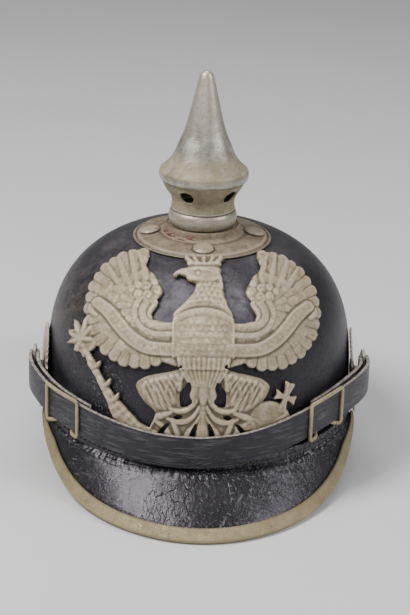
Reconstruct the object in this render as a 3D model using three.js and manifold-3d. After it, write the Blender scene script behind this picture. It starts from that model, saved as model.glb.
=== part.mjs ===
// Spiked leather helmet of the 1915 pattern: a hollow leather skull with a peak and a neck
// guard, and painted steel fittings: spike, base plate, eagle plate, chin strap and cockades.
// Millimetres, +Z up, the peak points to -Y. The helmet stands on the edges of its peak and
// neck guard, at z = 0.
import * as THREE from 'three';
import { mergeVertices } from 'three/addons/utils/BufferGeometryUtils.js';
import Module from 'manifold-3d';

const wasm = await Module();
wasm.setup();

// ---- driving dimensions -----------------------------------------------------------------
const GAP = 0.3;                // running gap between neighbouring pieces
const LENGTH_OFFSET = 0.95;     // moves the middle of the whole length onto y = 0

const SKULL = {
  halfWidth: 94.5,              // outside, at the rim
  halfFront: 108,               // spike axis to the front of the rim
  halfRear: 112,                // spike axis to the back of the rim
  rimZ: 29,
  crownZ: 136.5,                // top of the dome before the seat is pressed flat
  seatZ: 132,                   // flat seat of the base plate
  heightPower: 3.7,             // the dome's section is a superellipse
  widthPower: 2.28,
  wall: 2.8,
  ventRadius: 9,
};
const PEAK = {
  halfWidth: 98, halfLength: 148, bendZ: 28.2, endTurn: 73.5, sweep: 9,
  flatTurn: 30, riseTurn: 48, rise: 28, risePower: 2.6, bulge: 1.6, edgeLift: 0.8,
};
const NECK = {
  halfWidth: 101, halfLength: 146, bendZ: 27, endTurn: 80, sweep: 7,
  flatTurn: 36, riseTurn: 50, rise: 27, risePower: 2.4, bulge: 2.2, edgeLift: 0.5,
};
const BRIM_LEATHER = 2.4;       // leather of the peak and the neck guard
const SKIVED = 0.75;            // share of that thickness left at the edge
const BRIM_STEPS = 24;          // sections round each brim
const SEWN_EDGE_TOP = 35;       // upper edge of the strip that is sewn to the skull
const TRIM = { sheet: 0.9, width: 8, nose: 1.3 };
const PLATE = { radius: 42.3, rimZ: 133.6, coneRadius: 39, coneZ: 134.6, footRadius: 24.8,
  footZ: 137, floorZ: 141.3, holeRadius: 14 };
const STUD = { radius: 6.3, rise: 1.7, fromAxis: 32 };
const SPIKE = {
  tipZ: 237, seatZ: 141.6, segments: 18,
  vents: 5, ventZ: 163, ventRadius: 4.3, ventTurn: -28, ventTilt: -20, ventDepth: 12, ventY: -21,
};
const STRAP = { width: 19.2, leather: 2.2, clear: 3.5, leaveTurn: 44 };
const POST = { y: -12, z: 51, seatX: 94.7, washer: 0.6, washerRadius: 7, radius: 2.5,
  headRadius: 4.2 };
const COCKADE = { radius: 26.5, teeth: 18, toothDepth: 1.1, x: 95.6, sheet: 1.2, ringInside: 9,
  ringOutside: 18 };
const LUG = { x: 101.2, z: 55, sheet: 1.6, barFront: -25.5, bar: 3.5, slot: 5, arm: 1.7 };
const BUCKLE = { length: 32, bar: 1.8, wire: 1.5, leftAt: 96.5, rightAt: 84.5 };
const SPINE = { width: 14, sheet: 1.1 };
const VIEW_TILT = THREE.MathUtils.degToRad(23);   // the eagle is drawn on a plane leaning back

// ---- general shape tools ----------------------------------------------------------------
const turn = (degrees) => THREE.MathUtils.degToRad(degrees);

/** Turns a closed mesh so that its faces point out, and leaves only positions on it. */
function outward(geometry) {
  const source = geometry.clone();
  source.deleteAttribute('normal');
  source.deleteAttribute('uv');
  const merged = mergeVertices(source, 1e-4);
  const position = merged.attributes.position;
  const faces = [];
  let volume = 0;
  const a = new THREE.Vector3();
  const b = new THREE.Vector3();
  const c = new THREE.Vector3();
  for (let i = 0; i < merged.index.count; i += 3) {
    const [i0, i1, i2] = [0, 1, 2].map((k) => merged.index.getX(i + k));
    if (i0 === i1 || i1 === i2 || i2 === i0) continue;
    faces.push([i0, i1, i2]);
    a.fromBufferAttribute(position, i0);
    b.fromBufferAttribute(position, i1);
    c.fromBufferAttribute(position, i2);
    volume += a.dot(b.cross(c));
  }
  merged.setIndex(faces.flatMap(([i, j, k]) => (volume < 0 ? [i, k, j] : [i, j, k])));
  return merged;
}

/** A solid of revolution about +Z from a closed profile of [radius, z] pairs. */
function lathe(profile, segments) {
  const closed = [...profile, profile[0]].map(([r, z]) => new THREE.Vector2(r, z));
  return outward(new THREE.LatheGeometry(closed, segments).rotateX(Math.PI / 2));
}

/** A solid through sections of equal point count; a ring when the run closes on itself. */
function loft(sections, ring = false) {
  const count = sections[0].length;
  const position = sections.flat().flatMap((p) => [p.x, p.y, p.z]);
  const index = [];
  const runs = ring ? sections.length : sections.length - 1;
  for (let s = 0; s < runs; s += 1) {
    const here = s * count;
    const next = ((s + 1) % sections.length) * count;
    for (let k = 0; k < count; k += 1) {
      const m = (k + 1) % count;
      index.push(here + k, next + k, next + m, here + k, next + m, here + m);
    }
  }
  if (!ring) {
    const last = (sections.length - 1) * count;
    for (const [i, j, k] of capFaces(sections[0])) index.push(i, j, k);
    for (const [i, j, k] of capFaces(sections.at(-1))) index.push(last + i, last + k, last + j);
  }
  const geometry = new THREE.BufferGeometry();
  geometry.setAttribute('position', new THREE.Float32BufferAttribute(position, 3));
  geometry.setIndex(index);
  return outward(geometry);
}

/** A curved sheet between two equal grids of points, a front one and a back one. */
function sheetBetween(front, back) {
  return loft(front.map((row, k) => [...row, ...[...back[k]].reverse()]));
}

/** Triangles over one end section. A long section is two facing rows, and closes as a strip. */
function capFaces(points) {
  const count = points.length;
  const faces = [];
  if (count > 10) {
    for (let k = 0; k < count / 2 - 1; k += 1) {
      const far = count - 1 - k;
      faces.push([k, k + 1, far - 1], [k, far - 1, far]);
    }
    return faces;
  }
  const normal = new THREE.Vector3();
  const origin = points[0];
  for (let k = 1; k < count - 1; k += 1) {
    normal.add(points[k].clone().sub(origin).cross(points[k + 1].clone().sub(origin)));
  }
  normal.normalize();
  const across = points[1].clone().sub(origin).normalize();
  const up = normal.clone().cross(across);
  const flat = points.map((p) => new THREE.Vector2(p.dot(across), p.dot(up)));
  return THREE.ShapeUtils.triangulateShape(flat, []);
}

/** The mesh as a manifold solid, for joins and cuts. */
function solid(geometry) {
  const clean = outward(geometry);
  return new wasm.Manifold(new wasm.Mesh({
    numProp: 3,
    vertProperties: new Float32Array(clean.attributes.position.array),
    triVerts: new Uint32Array(clean.index.array),
  }));
}

/** The manifold solid as a three.js geometry. */
function geometryOf(manifold) {
  const mesh = manifold.getMesh();
  const geometry = new THREE.BufferGeometry();
  geometry.setAttribute('position', new THREE.Float32BufferAttribute(mesh.vertProperties, 3));
  geometry.setIndex([...mesh.triVerts]);
  return geometry;
}

function paint(color, roughness, metalness) {
  return new THREE.MeshStandardMaterial({ color, roughness, metalness });
}

const helmet = new THREE.Group();
helmet.position.y = LENGTH_OFFSET;

function addPiece(name, geometry, material, parent = helmet) {
  const mesh = new THREE.Mesh(geometry, material);
  mesh.name = name;
  parent.add(mesh);
  return mesh;
}

const leather = () => paint(0x35333a, 0.55, 0);
const steelPaint = () => paint(0xb3a98c, 0.6, 0.25);
const bucklePaint = () => paint(0xb9ad7c, 0.55, 0.3);

// ---- skull ------------------------------------------------------------------------------
/** Share of the plan size at a height: 1 at the rim, 0 at the crown. */
function domeShare(z) {
  const rise = THREE.MathUtils.clamp((z - SKULL.rimZ) / (SKULL.crownZ - SKULL.rimZ), 0, 1);
  return (1 - rise ** SKULL.heightPower) ** (1 / SKULL.widthPower);
}

/** A point on the outside of the dome, climb 0 at the rim to 90 degrees at the crown. */
function domePoint(side, climb) {
  const share = (Math.cos(climb) ** 2) ** (1 / SKULL.widthPower);
  const rise = (Math.sin(climb) ** 2) ** (1 / SKULL.heightPower);
  const half = Math.cos(side) > 0 ? SKULL.halfFront : SKULL.halfRear;
  return new THREE.Vector3(
    SKULL.halfWidth * share * Math.sin(side),
    -half * share * Math.cos(side),
    SKULL.rimZ + rise * (SKULL.crownZ - SKULL.rimZ),
  );
}

function domeNormal(p) {
  const half = p.y < 0 ? SKULL.halfFront : SKULL.halfRear;
  const depth = SKULL.crownZ - SKULL.rimZ;
  const share = (p.x / SKULL.halfWidth) ** 2 + (p.y / half) ** 2;
  const slope = SKULL.widthPower * share ** (SKULL.widthPower / 2 - 1);
  const rise = Math.max(p.z - SKULL.rimZ, 0) / depth;
  return new THREE.Vector3(
    slope * p.x / SKULL.halfWidth ** 2,
    slope * p.y / half ** 2,
    SKULL.heightPower * rise ** (SKULL.heightPower - 1) / depth,
  ).normalize();
}

/** Moves a point of a round dome of the rim's half width onto the oval plan. */
function ovalPlan(geometry) {
  const position = geometry.attributes.position;
  for (let i = 0; i < position.count; i += 1) {
    const y = position.getY(i);
    const half = y < 0 ? SKULL.halfFront : SKULL.halfRear;
    position.setY(i, y * half / SKULL.halfWidth);
  }
  return geometry;
}

function skullGeometry() {
  const heights = [29, 50, 70, 86, 98.5, 108, 116, 123, 128.5];
  const outside = heights.map((z) => [SKULL.halfWidth * domeShare(z), z]);
  outside.push([SKULL.halfWidth * domeShare(SKULL.seatZ), SKULL.seatZ]);
  outside.push([SKULL.ventRadius, SKULL.seatZ]);
  const inside = [29, 65, 90, 107, 119, 127].map((z) => {
    const r = SKULL.halfWidth * domeShare(z);
    const normal = domeNormal(new THREE.Vector3(r, 0, z));
    return [r - SKULL.wall * normal.x, Math.max(z - SKULL.wall * normal.z, SKULL.rimZ)];
  });
  inside.push([SKULL.ventRadius, SKULL.seatZ - SKULL.wall]);
  return ovalPlan(lathe([...outside, ...inside.reverse()], 40));
}

// ---- peak, trim and neck guard ----------------------------------------------------------
/** Middle surface of a sewn brim: run -1 to 0 up the skull, 0 to 1 out to the edge. */
function brimPoint(brim, back, side, run) {
  const half = back > 0 ? SKULL.halfRear : SKULL.halfFront;
  const stand = BRIM_LEATHER / 2 + GAP;
  const plan = new THREE.Vector3(Math.sin(side) * SKULL.halfWidth, back * Math.cos(side) * half, 0);
  const out = new THREE.Vector3(Math.sin(side) / SKULL.halfWidth, back * Math.cos(side) / half, 0);
  const bend = plan.addScaledVector(out.normalize(), stand);
  bend.z = brim.bendZ;
  if (run <= 0) {
    bend.z -= run * (SEWN_EDGE_TOP - brim.bendZ);
    return bend;
  }
  const edgeSide = side + turn(brim.sweep) * Math.sin(2 * side);
  const past = Math.max(0, (Math.abs(edgeSide) - turn(brim.flatTurn)) / turn(brim.riseTurn));
  const edge = new THREE.Vector3(
    brim.halfWidth * Math.sin(edgeSide),
    back * brim.halfLength * Math.cos(edgeSide),
    brim.rise * past ** brim.risePower + brim.edgeLift,
  );
  const width = edge.distanceTo(bend);
  const point = bend.lerp(edge, run);
  point.z += 4 * run * (1 - run) * brim.bulge * Math.min(1, width / brim.halfLength * 4);
  return point;
}

function brimNormal(brim, back, side, run) {
  const step = 0.01;
  const along = brimPoint(brim, back, side + step, run).sub(brimPoint(brim, back, side - step, run));
  const out = brimPoint(brim, back, side, run + step).sub(brimPoint(brim, back, side, run - step));
  const normal = out.cross(along).normalize();
  const outside = new THREE.Vector3(Math.sin(side), back * Math.cos(side), 0.6);
  return normal.dot(outside) < 0 ? normal.negate() : normal;
}

function brimOffset(brim, back, side, run, lift) {
  const point = brimPoint(brim, back, side, run);
  point.addScaledVector(brimNormal(brim, back, side, run), lift);
  point.z = Math.max(point.z, 0);
  return point;
}

/** Sides from one end of a brim to the other, in radians, closer together at its ends. */
function brimSides(brim, steps) {
  const sides = [];
  for (let k = 0; k <= steps; k += 1) {
    const share = 2 * k / steps - 1;
    sides.push(turn(brim.endTurn) * share * (1.4 - 0.4 * share ** 2));
  }
  return sides;
}

function brimWidth(brim, back, side) {
  return brimPoint(brim, back, side, 1).distanceTo(brimPoint(brim, back, side, 0));
}

/** The trim's flange narrows where the brim runs out at its ends. */
function trimFlange(width) {
  return Math.min(TRIM.width, width * 0.5);
}

function brimGeometry(brim, back, edgeInset) {
  const face = (lift) => brimSides(brim, BRIM_STEPS).map((side) => {
    const width = brimWidth(brim, back, side);
    const margin = 1 - trimFlange(width) / width;
    const runs = [-1, -0.25, 0.04, margin * 0.5, margin, 1 - edgeInset / width];
    return runs.map((run) => brimOffset(brim, back, side, run,
      run < margin ? lift : lift * SKIVED));
  });
  return sheetBetween(face(BRIM_LEATHER / 2), face(-BRIM_LEATHER / 2));
}

function peakTrimGeometry() {
  const inside = BRIM_LEATHER / 2 + GAP;
  const outside = inside + TRIM.sheet;
  const face = (rowsOf) => brimSides(PEAK, BRIM_STEPS).map((side) => {
    const width = brimWidth(PEAK, -1, side);
    return rowsOf(trimFlange(width))
      .map(([inset, lift]) => brimOffset(PEAK, -1, side, 1 - inset / width, lift));
  });
  const outer = face((flange) => [[flange, outside], [1.1, outside], [0, outside * 0.5],
    [0, -outside * 0.5], [1.1, -outside], [flange, -outside]]);
  const inner = face((flange) => [[flange, inside], [TRIM.nose, inside], [TRIM.nose, inside * 0.4],
    [TRIM.nose, -inside * 0.4], [TRIM.nose, -inside], [flange, -inside]]);
  return sheetBetween(outer, inner);
}

// ---- rear spine -------------------------------------------------------------------------
function spineGeometry() {
  const stand = GAP * 2 + SPINE.sheet / 2;
  const start = new THREE.Vector3(0, PLATE.radius + GAP * 2, SKULL.seatZ);
  const path = [[start, new THREE.Vector3(0, 0, 1)]];
  for (const climb of [67, 60, 52, 44, 36, 29, 22, 15, 9]) {
    const p = domePoint(Math.PI, turn(climb));
    path.push([p, domeNormal(p)]);
  }
  const overBrim = BRIM_LEATHER / 2 + stand;
  const brimRuns = [-0.75, -0.25, 0.06, 0.3, 0.6, 0.94];
  const centre = path.map(([p, normal]) => p.clone().addScaledVector(normal, stand));
  for (const run of brimRuns) centre.push(brimOffset(NECK, 1, 0, run, overBrim));
  const sections = centre.map((p, k) => {
    const before = centre[Math.max(k - 1, 0)];
    const after = centre[Math.min(k + 1, centre.length - 1)];
    const along = after.clone().sub(before).normalize();
    const normal = new THREE.Vector3(1, 0, 0).cross(along).normalize();
    const corner = (x, n) => new THREE.Vector3(x * SPINE.width / 2, p.y, p.z)
      .addScaledVector(normal, n * SPINE.sheet / 2);
    return [corner(-1, -1), corner(1, -1), corner(1, 0.4), corner(0.45, 1), corner(-0.45, 1),
      corner(-1, 0.4)];
  });
  return loft(sections);
}

// ---- base plate and studs ---------------------------------------------------------------
function basePlateGeometry() {
  const { radius, rimZ, coneRadius, coneZ, footRadius, footZ, floorZ, holeRadius } = PLATE;
  const under = SKULL.seatZ + GAP;
  return lathe([
    [radius - 0.4, under], [radius, rimZ - 0.4], [radius - 1.5, rimZ],
    [coneRadius + 0.6, rimZ - 0.4], [coneRadius, coneZ],
    [footRadius, footZ], [footRadius - 1.6, footZ + 1.4], [footRadius - 2, floorZ + 0.7],
    [footRadius - 3.4, floorZ],
    [holeRadius, floorZ], [holeRadius, floorZ - 1], [footRadius - 3.2, floorZ - 1.2],
    [footRadius - 2.6, footZ - 0.9], [coneRadius, under],
  ], 24);
}

function studGeometry() {
  const { radius, rise } = STUD;
  return lathe([[0, 0], [radius, 0], [radius, rise * 0.5], [radius * 0.75, rise],
    [0, rise]], 10);
}

function addStuds() {
  const sides = { stud_front: 0, stud_right: 90, stud_rear: 180, stud_left: 270 };
  const slope = Math.atan2(PLATE.footZ - PLATE.coneZ, PLATE.coneRadius - PLATE.footRadius);
  const share = (PLATE.coneRadius - STUD.fromAxis) / (PLATE.coneRadius - PLATE.footRadius);
  const seat = PLATE.coneZ + share * (PLATE.footZ - PLATE.coneZ) + GAP / Math.cos(slope);
  for (const [name, side] of Object.entries(sides)) {
    const place = new THREE.Group();
    place.rotation.z = turn(side);
    helmet.add(place);
    const stud = addPiece(name, studGeometry(), steelPaint(), place);
    stud.position.set(0, -STUD.fromAxis, seat);
    stud.rotation.x = slope;
  }
}

// ---- spike ------------------------------------------------------------------------------
// Outside and inside of the pressing as [radius, z] rows: point, flared lip, waist, ring bead.
const SPIKE_OUTSIDE = [
  [0, SPIKE.tipZ], [2.8, 236], [4.4, 232.6], [6.5, 224.5], [10.4, 208],
  [12.7, 199.7], [16.1, 191.5], [20, 183], [25.4, 177], [27.1, 175], [27.1, 171.8],
  [25.8, 170], [22.2, 163.8], [19.9, 160], [19.2, 156.2], [20.4, 152.2],
  [20.6, 148], [20.4, 144], [19.4, SPIKE.seatZ],
];
const SPIKE_INSIDE = [
  [17.8, SPIKE.seatZ], [18.8, 147], [17.9, 159], [20.8, 163.8], [24.6, 172],
  [18.6, 182.4], [11.3, 199.5], [0, 229],
];

function spikeGeometry() {
  let body = solid(lathe([...SPIKE_OUTSIDE, ...SPIKE_INSIDE], SPIKE.segments));
  for (let k = 0; k < SPIKE.vents; k += 1) {
    const bore = new THREE.CylinderGeometry(SPIKE.ventRadius, SPIKE.ventRadius,
      SPIKE.ventDepth, 8);
    bore.rotateX(turn(SPIKE.ventTilt));
    bore.translate(0, SPIKE.ventY, SPIKE.ventZ);
    bore.rotateZ(turn(SPIKE.ventTurn + k * 360 / SPIKE.vents));
    body = body.subtract(solid(bore));
  }
  return geometryOf(body);
}

// ---- chin strap, lugs, buckles ----------------------------------------------------------
// Height of the strap's middle line by the distance along it from the front.
const STRAP_LINE = {
  left: [{ at: 0, z: 40.5 }, { at: 30, z: 40.7 }, { at: 50, z: 42.8 }, { at: 64, z: 43.8 },
    { at: 80, z: 44.7 }, { at: 110, z: 46 }, { at: 126, z: 50.5 }, { at: 146, z: LUG.z }],
  right: [{ at: 0, z: 40.5 }, { at: 28, z: 42.3 }, { at: 47, z: 45.8 }, { at: 62, z: 48.4 },
    { at: 84, z: 50.8 }, { at: 100, z: 51.7 }, { at: 118, z: 53.2 }, { at: 146, z: LUG.z }],
};

function strapHeight(hand, distance) {
  const rows = hand < 0 ? STRAP_LINE.left : STRAP_LINE.right;
  const at = Math.min(distance, rows.at(-1).at);
  const k = Math.max(1, rows.findIndex((row) => row.at >= at));
  return THREE.MathUtils.mapLinear(at, rows[k - 1].at, rows[k].at, rows[k - 1].z, rows[k].z);
}

/** Plan point at a distance outside the skull's front wall. */
function wallPoint(side, stand) {
  const out = new THREE.Vector3(Math.sin(side) / SKULL.halfWidth,
    -Math.cos(side) / SKULL.halfFront, 0).normalize();
  const point = new THREE.Vector3(SKULL.halfWidth * Math.sin(side),
    -SKULL.halfFront * Math.cos(side), 0);
  return point.addScaledVector(out, stand);
}

const STRAP_WRAP = LUG.sheet / 2 + GAP + STRAP.leather / 2;   // bar of the lug to strap middle

/** Level direction out of the helmet, square to a strap that runs back from the front. */
function outOf(along, hand) {
  return new THREE.Vector3(along.y, -along.x, 0).normalize().multiplyScalar(hand);
}

/** Middle line of the outer layer on one hand: round the front, then clear of the skull. */
function strapOuter(hand) {
  const stand = STRAP.clear + STRAP.leather / 2;
  const plan = [];
  for (let at = 0; at < STRAP.leaveTurn; at += 4) plan.push(wallPoint(hand * turn(at), stand));
  const leave = wallPoint(hand * turn(STRAP.leaveTurn), stand);
  const knee = new THREE.Vector3(hand * (LUG.x + STRAP_WRAP), LUG.barFront - 2, 0);
  const pull = new THREE.Vector3(knee.x, -43, 0);
  plan.push(...new THREE.QuadraticBezierCurve3(leave, pull, knee).getPoints(6));
  let distance = 0;
  plan.forEach((p, k) => {
    distance += k > 0 ? Math.hypot(p.x - plan[k - 1].x, p.y - plan[k - 1].y) : 0;
    p.z = strapHeight(hand, distance);
  });
  return plan;
}

/** Middle line of the strap on one hand, with the fold round the lug and the return. */
function strapHalf(hand) {
  const outer = strapOuter(hand);
  const foldY = LUG.barFront + LUG.bar - LUG.sheet / 2 + GAP;
  const fold = [0, 45, 90, 135, 180].map((at) => new THREE.Vector3(
    hand * (LUG.x + STRAP_WRAP * Math.cos(turn(at))),
    foldY + STRAP_WRAP * Math.sin(turn(at)),
    LUG.z,
  ));
  const inside = hand * (LUG.x - STRAP_WRAP);
  const back = [new THREE.Vector3(inside, LUG.barFront - 2, LUG.z)];
  for (let k = outer.length - 2; outer[k].y > -86; k -= 1) {
    const along = outer[k + 1].clone().sub(outer[k - 1]);
    const p = outer[k].clone().addScaledVector(outOf(along, hand), -STRAP.leather - GAP);
    p.z += 1;
    if (Math.abs(p.x) > Math.abs(inside) - 0.3) p.x = Math.sign(p.x) * (Math.abs(inside) - 0.3);
    back.push(p);
  }
  return [...outer, ...fold, ...back];
}

/** A flat band swept along a line, standing on edge. */
function bandGeometry(line, width, thick) {
  const up = new THREE.Vector3(0, 0, 1);
  const sections = line.map((p, k) => {
    const along = line[Math.min(k + 1, line.length - 1)].clone()
      .sub(line[Math.max(k - 1, 0)]);
    const across = new THREE.Vector3(along.y, -along.x, 0).normalize();
    const corner = (u, n) => p.clone().addScaledVector(up, u * width / 2)
      .addScaledVector(across, n * thick / 2);
    return [corner(-1, -1), corner(-1, 1), corner(1, 1), corner(1, -1)];
  });
  return loft(sections);
}

function strapGeometry() {
  const line = [...strapHalf(-1).reverse(), ...strapHalf(1).slice(1)];
  return bandGeometry(line, STRAP.width, STRAP.leather);
}

/** Buckle: a flat wire frame round the doubled strap, its lower bar tucked under the edge. */
function buckleGeometry(hand, distance) {
  const curve = new THREE.CatmullRomCurve3(strapOuter(hand));
  const length = curve.getLength();
  const face = (STRAP.leather + BUCKLE.wire) / 2 + GAP;
  const reach = STRAP.width / 2 + GAP + BUCKLE.bar / 2;
  const half = (BUCKLE.length - BUCKLE.bar) / 2;
  const place = (run, height, stand) => {
    const at = (distance + run) / length;
    const out = outOf(curve.getTangentAt(at), hand);
    const p = curve.getPointAt(at).addScaledVector(out, stand);
    p.z += height;
    return p;
  };
  const foot = -reach - 0.7;
  const frame = [
    [-half, reach, face], [-half / 3, reach, face], [half / 3, reach, face], [half, reach, face],
    [half, 0, face], [half, foot, face], [half - BUCKLE.bar, foot, 0.8],
    [half / 3, foot, 0], [-half / 3, foot, 0], [BUCKLE.bar - half, foot, 0.8],
    [-half, foot, face], [-half, 0, face],
  ];
  const points = frame.map(([run, height, stand]) => place(run, height, stand));
  const middle = place(0, 0, face);
  const out = outOf(curve.getTangentAt(distance / length), hand);
  const sections = points.map((p, k) => {
    const before = points[(k + points.length - 1) % points.length];
    const after = points[(k + 1) % points.length];
    const along = after.clone().sub(before).normalize();
    const across = along.clone().cross(out).normalize();
    if (across.dot(middle.clone().sub(p)) < 0) across.negate();
    const away = along.clone().cross(across).normalize();
    if (away.dot(out) < 0) away.negate();
    const corner = (a, n) => p.clone().addScaledVector(across, a * BUCKLE.bar / 2)
      .addScaledVector(away, n * BUCKLE.wire / 2);
    return [corner(-1, -1), corner(1, -1), corner(1, 1), corner(-1, 1)];
  });
  return loft(sections, true);
}

/** Lug: a flat plate with a slot for the strap and a hole for the post. */
function lugGeometry(hand) {
  const half = STRAP.width / 2 + GAP + LUG.arm;
  const plate = new THREE.Shape();
  const slotFront = LUG.barFront + LUG.bar;
  const slotBack = slotFront + LUG.slot;
  plate.moveTo(LUG.barFront, -half);
  plate.lineTo(slotBack + 1.5, -half);
  plate.lineTo(POST.y + 6.5, POST.z - LUG.z - 5);
  plate.lineTo(POST.y + 6.5, POST.z - LUG.z + 5);
  plate.lineTo(slotBack + 1.5, half);
  plate.lineTo(LUG.barFront, half);
  const slot = new THREE.Path();
  slot.moveTo(slotFront, -half + LUG.arm);
  slot.lineTo(slotFront, half - LUG.arm);
  slot.lineTo(slotBack, half - LUG.arm);
  slot.lineTo(slotBack, -half + LUG.arm);
  const hole = new THREE.Path();
  hole.absarc(POST.y, POST.z - LUG.z, POST.radius + GAP + 0.1, 0, Math.PI * 2, true);
  plate.holes.push(slot, hole);
  const geometry = new THREE.ExtrudeGeometry(plate,
    { depth: LUG.sheet, bevelEnabled: false, curveSegments: 6 });
  geometry.translate(0, 0, -LUG.sheet / 2);
  const axes = new THREE.Matrix4().makeBasis(new THREE.Vector3(0, 1, 0),
    new THREE.Vector3(0, 0, 1), new THREE.Vector3(1, 0, 0));
  geometry.applyMatrix4(axes);
  geometry.translate(hand * LUG.x, 0, LUG.z);
  return outward(geometry);
}

// ---- side posts and cockades ------------------------------------------------------------
/** A turned piece whose axis runs out of the side of the helmet, from [radius, x] pairs. */
function sideLathe(profile, segments, hand) {
  const geometry = lathe(profile, segments);
  geometry.rotateY(hand * Math.PI / 2);
  geometry.translate(0, POST.y, POST.z);
  return outward(geometry);
}

function postGeometry(hand) {
  const lugFace = LUG.x + LUG.sheet / 2 + GAP;
  const washerFace = POST.seatX + POST.washer;
  const { washerRadius, radius, headRadius } = POST;
  return sideLathe([[0, POST.seatX], [washerRadius, POST.seatX], [washerRadius, washerFace],
    [radius, washerFace], [radius, lugFace], [headRadius, lugFace], [headRadius, lugFace + 1],
    [headRadius - 1.4, lugFace + 1.8], [0, lugFace + 1.8]], 10, hand);
}

/** Cockade: a pressed disc with a toothed rim and two raised rings. */
function cockadeGeometry(hand) {
  const disc = new THREE.Shape();
  for (let k = 0; k < COCKADE.teeth * 2; k += 1) {
    const radius = COCKADE.radius - (k % 2) * COCKADE.toothDepth;
    const at = Math.PI * k / COCKADE.teeth;
    disc[k === 0 ? 'moveTo' : 'lineTo'](radius * Math.cos(at), radius * Math.sin(at));
  }
  const hole = new THREE.Path();
  hole.absarc(0, 0, POST.radius + GAP + 0.2, 0, Math.PI * 2, true);
  disc.holes.push(hole);
  const blank = new THREE.ExtrudeGeometry(disc,
    { depth: COCKADE.sheet * 0.6, bevelEnabled: false, curveSegments: 5 });
  const { ringInside, ringOutside, sheet } = COCKADE;
  const ring = lathe([[ringInside, 0.2], [ringOutside, 0.2], [ringOutside, sheet],
    [ringInside, sheet]], 12);
  const whole = geometryOf(solid(blank).add(solid(ring)));
  whole.translate(0, 0, COCKADE.x);
  whole.rotateY(hand * Math.PI / 2);
  whole.translate(0, POST.y, POST.z);
  return outward(whole);
}

// ---- eagle plate ------------------------------------------------------------------------
// The plate is drawn flat, u to the right and v up, on a plane that leans back, and each
// layer of it is cut out of a curved sheet that follows the front of the dome.
/** A curved sheet over the front of the dome, between two distances from it. */
function domeSheet(inner, outer) {
  const climbs = [0.6, 4, 12, 21, 30, 39, 48, 60, 73];
  const columns = 12;
  const reach = 72;
  const rows = climbs.map((climb) => {
    const row = [];
    for (let k = 0; k <= columns; k += 1) {
      row.push(domePoint(turn(reach * (2 * k / columns - 1)), turn(climb)));
    }
    return row;
  });
  const lifted = (p, lift) => p.clone().addScaledVector(domeNormal(p), lift);
  const front = rows.map((row) => row.map((p) => lifted(p, outer)));
  const back = rows.map((row) => row.map((p) => lifted(p, inner)));
  return solid(sheetBetween(front, back));
}

/** A prism through the front of the helmet over a flat outline. */
function prism(shape) {
  const geometry = new THREE.ExtrudeGeometry(shape,
    { depth: 130, bevelEnabled: false, curveSegments: 5 });
  const axes = new THREE.Matrix4().makeBasis(new THREE.Vector3(1, 0, 0),
    new THREE.Vector3(0, Math.sin(VIEW_TILT), Math.cos(VIEW_TILT)),
    new THREE.Vector3(0, -Math.cos(VIEW_TILT), Math.sin(VIEW_TILT)));
  geometry.applyMatrix4(axes.multiply(new THREE.Matrix4().makeTranslation(0, 0, 30)));
  return solid(geometry);
}

/** A closed outline through a few points [u, v]. */
function outlineShape(points) {
  return new THREE.Shape(points.map(([u, v]) => new THREE.Vector2(u, v)));
}

/** A band of changing width along a middle line of [u, v, width] rows. */
function bandShape(rows) {
  const middle = new THREE.SplineCurve(rows.map(([u, v]) => new THREE.Vector2(u, v)));
  const left = [];
  const right = [];
  rows.forEach(([u, v, width], k) => {
    const along = middle.getTangent(k / (rows.length - 1));
    left.push(new THREE.Vector2(u - along.y * width / 2, v + along.x * width / 2));
    right.push(new THREE.Vector2(u + along.y * width / 2, v - along.x * width / 2));
  });
  return new THREE.Shape([...left, ...right.reverse()]);
}

const mirror = (hand, points) => points.map(([u, v, ...rest]) => [hand * u, v, ...rest]);

const WING = { u: 36, v: 76, reachU: 33.2, reachV: 35.6, feathers: 11, from: 98, sweep: 212,
  scallop: 2.4 };

/** The tip circle of the wing at an angle in degrees, pulled in by an inset. */
function wingRim(hand, angle, inset) {
  return [hand * (WING.u + (WING.reachU - inset) * Math.cos(turn(angle))),
    WING.v + (WING.reachV - inset) * Math.sin(turn(angle))];
}

/** One row of feathers: a scalloped edge round the wing, closed along an inner edge. */
function featherRow(hand, inset, feathers, innerEdge) {
  const points = [];
  const step = WING.sweep / feathers;
  for (let k = 0; k < feathers; k += 1) {
    const from = WING.from - k * step;
    points.push(wingRim(hand, from, inset + WING.scallop), wingRim(hand, from - step * 0.28, inset),
      wingRim(hand, from - step * 0.72, inset));
  }
  points.push(...mirror(hand, innerEdge));
  return outlineShape(points);
}

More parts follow.
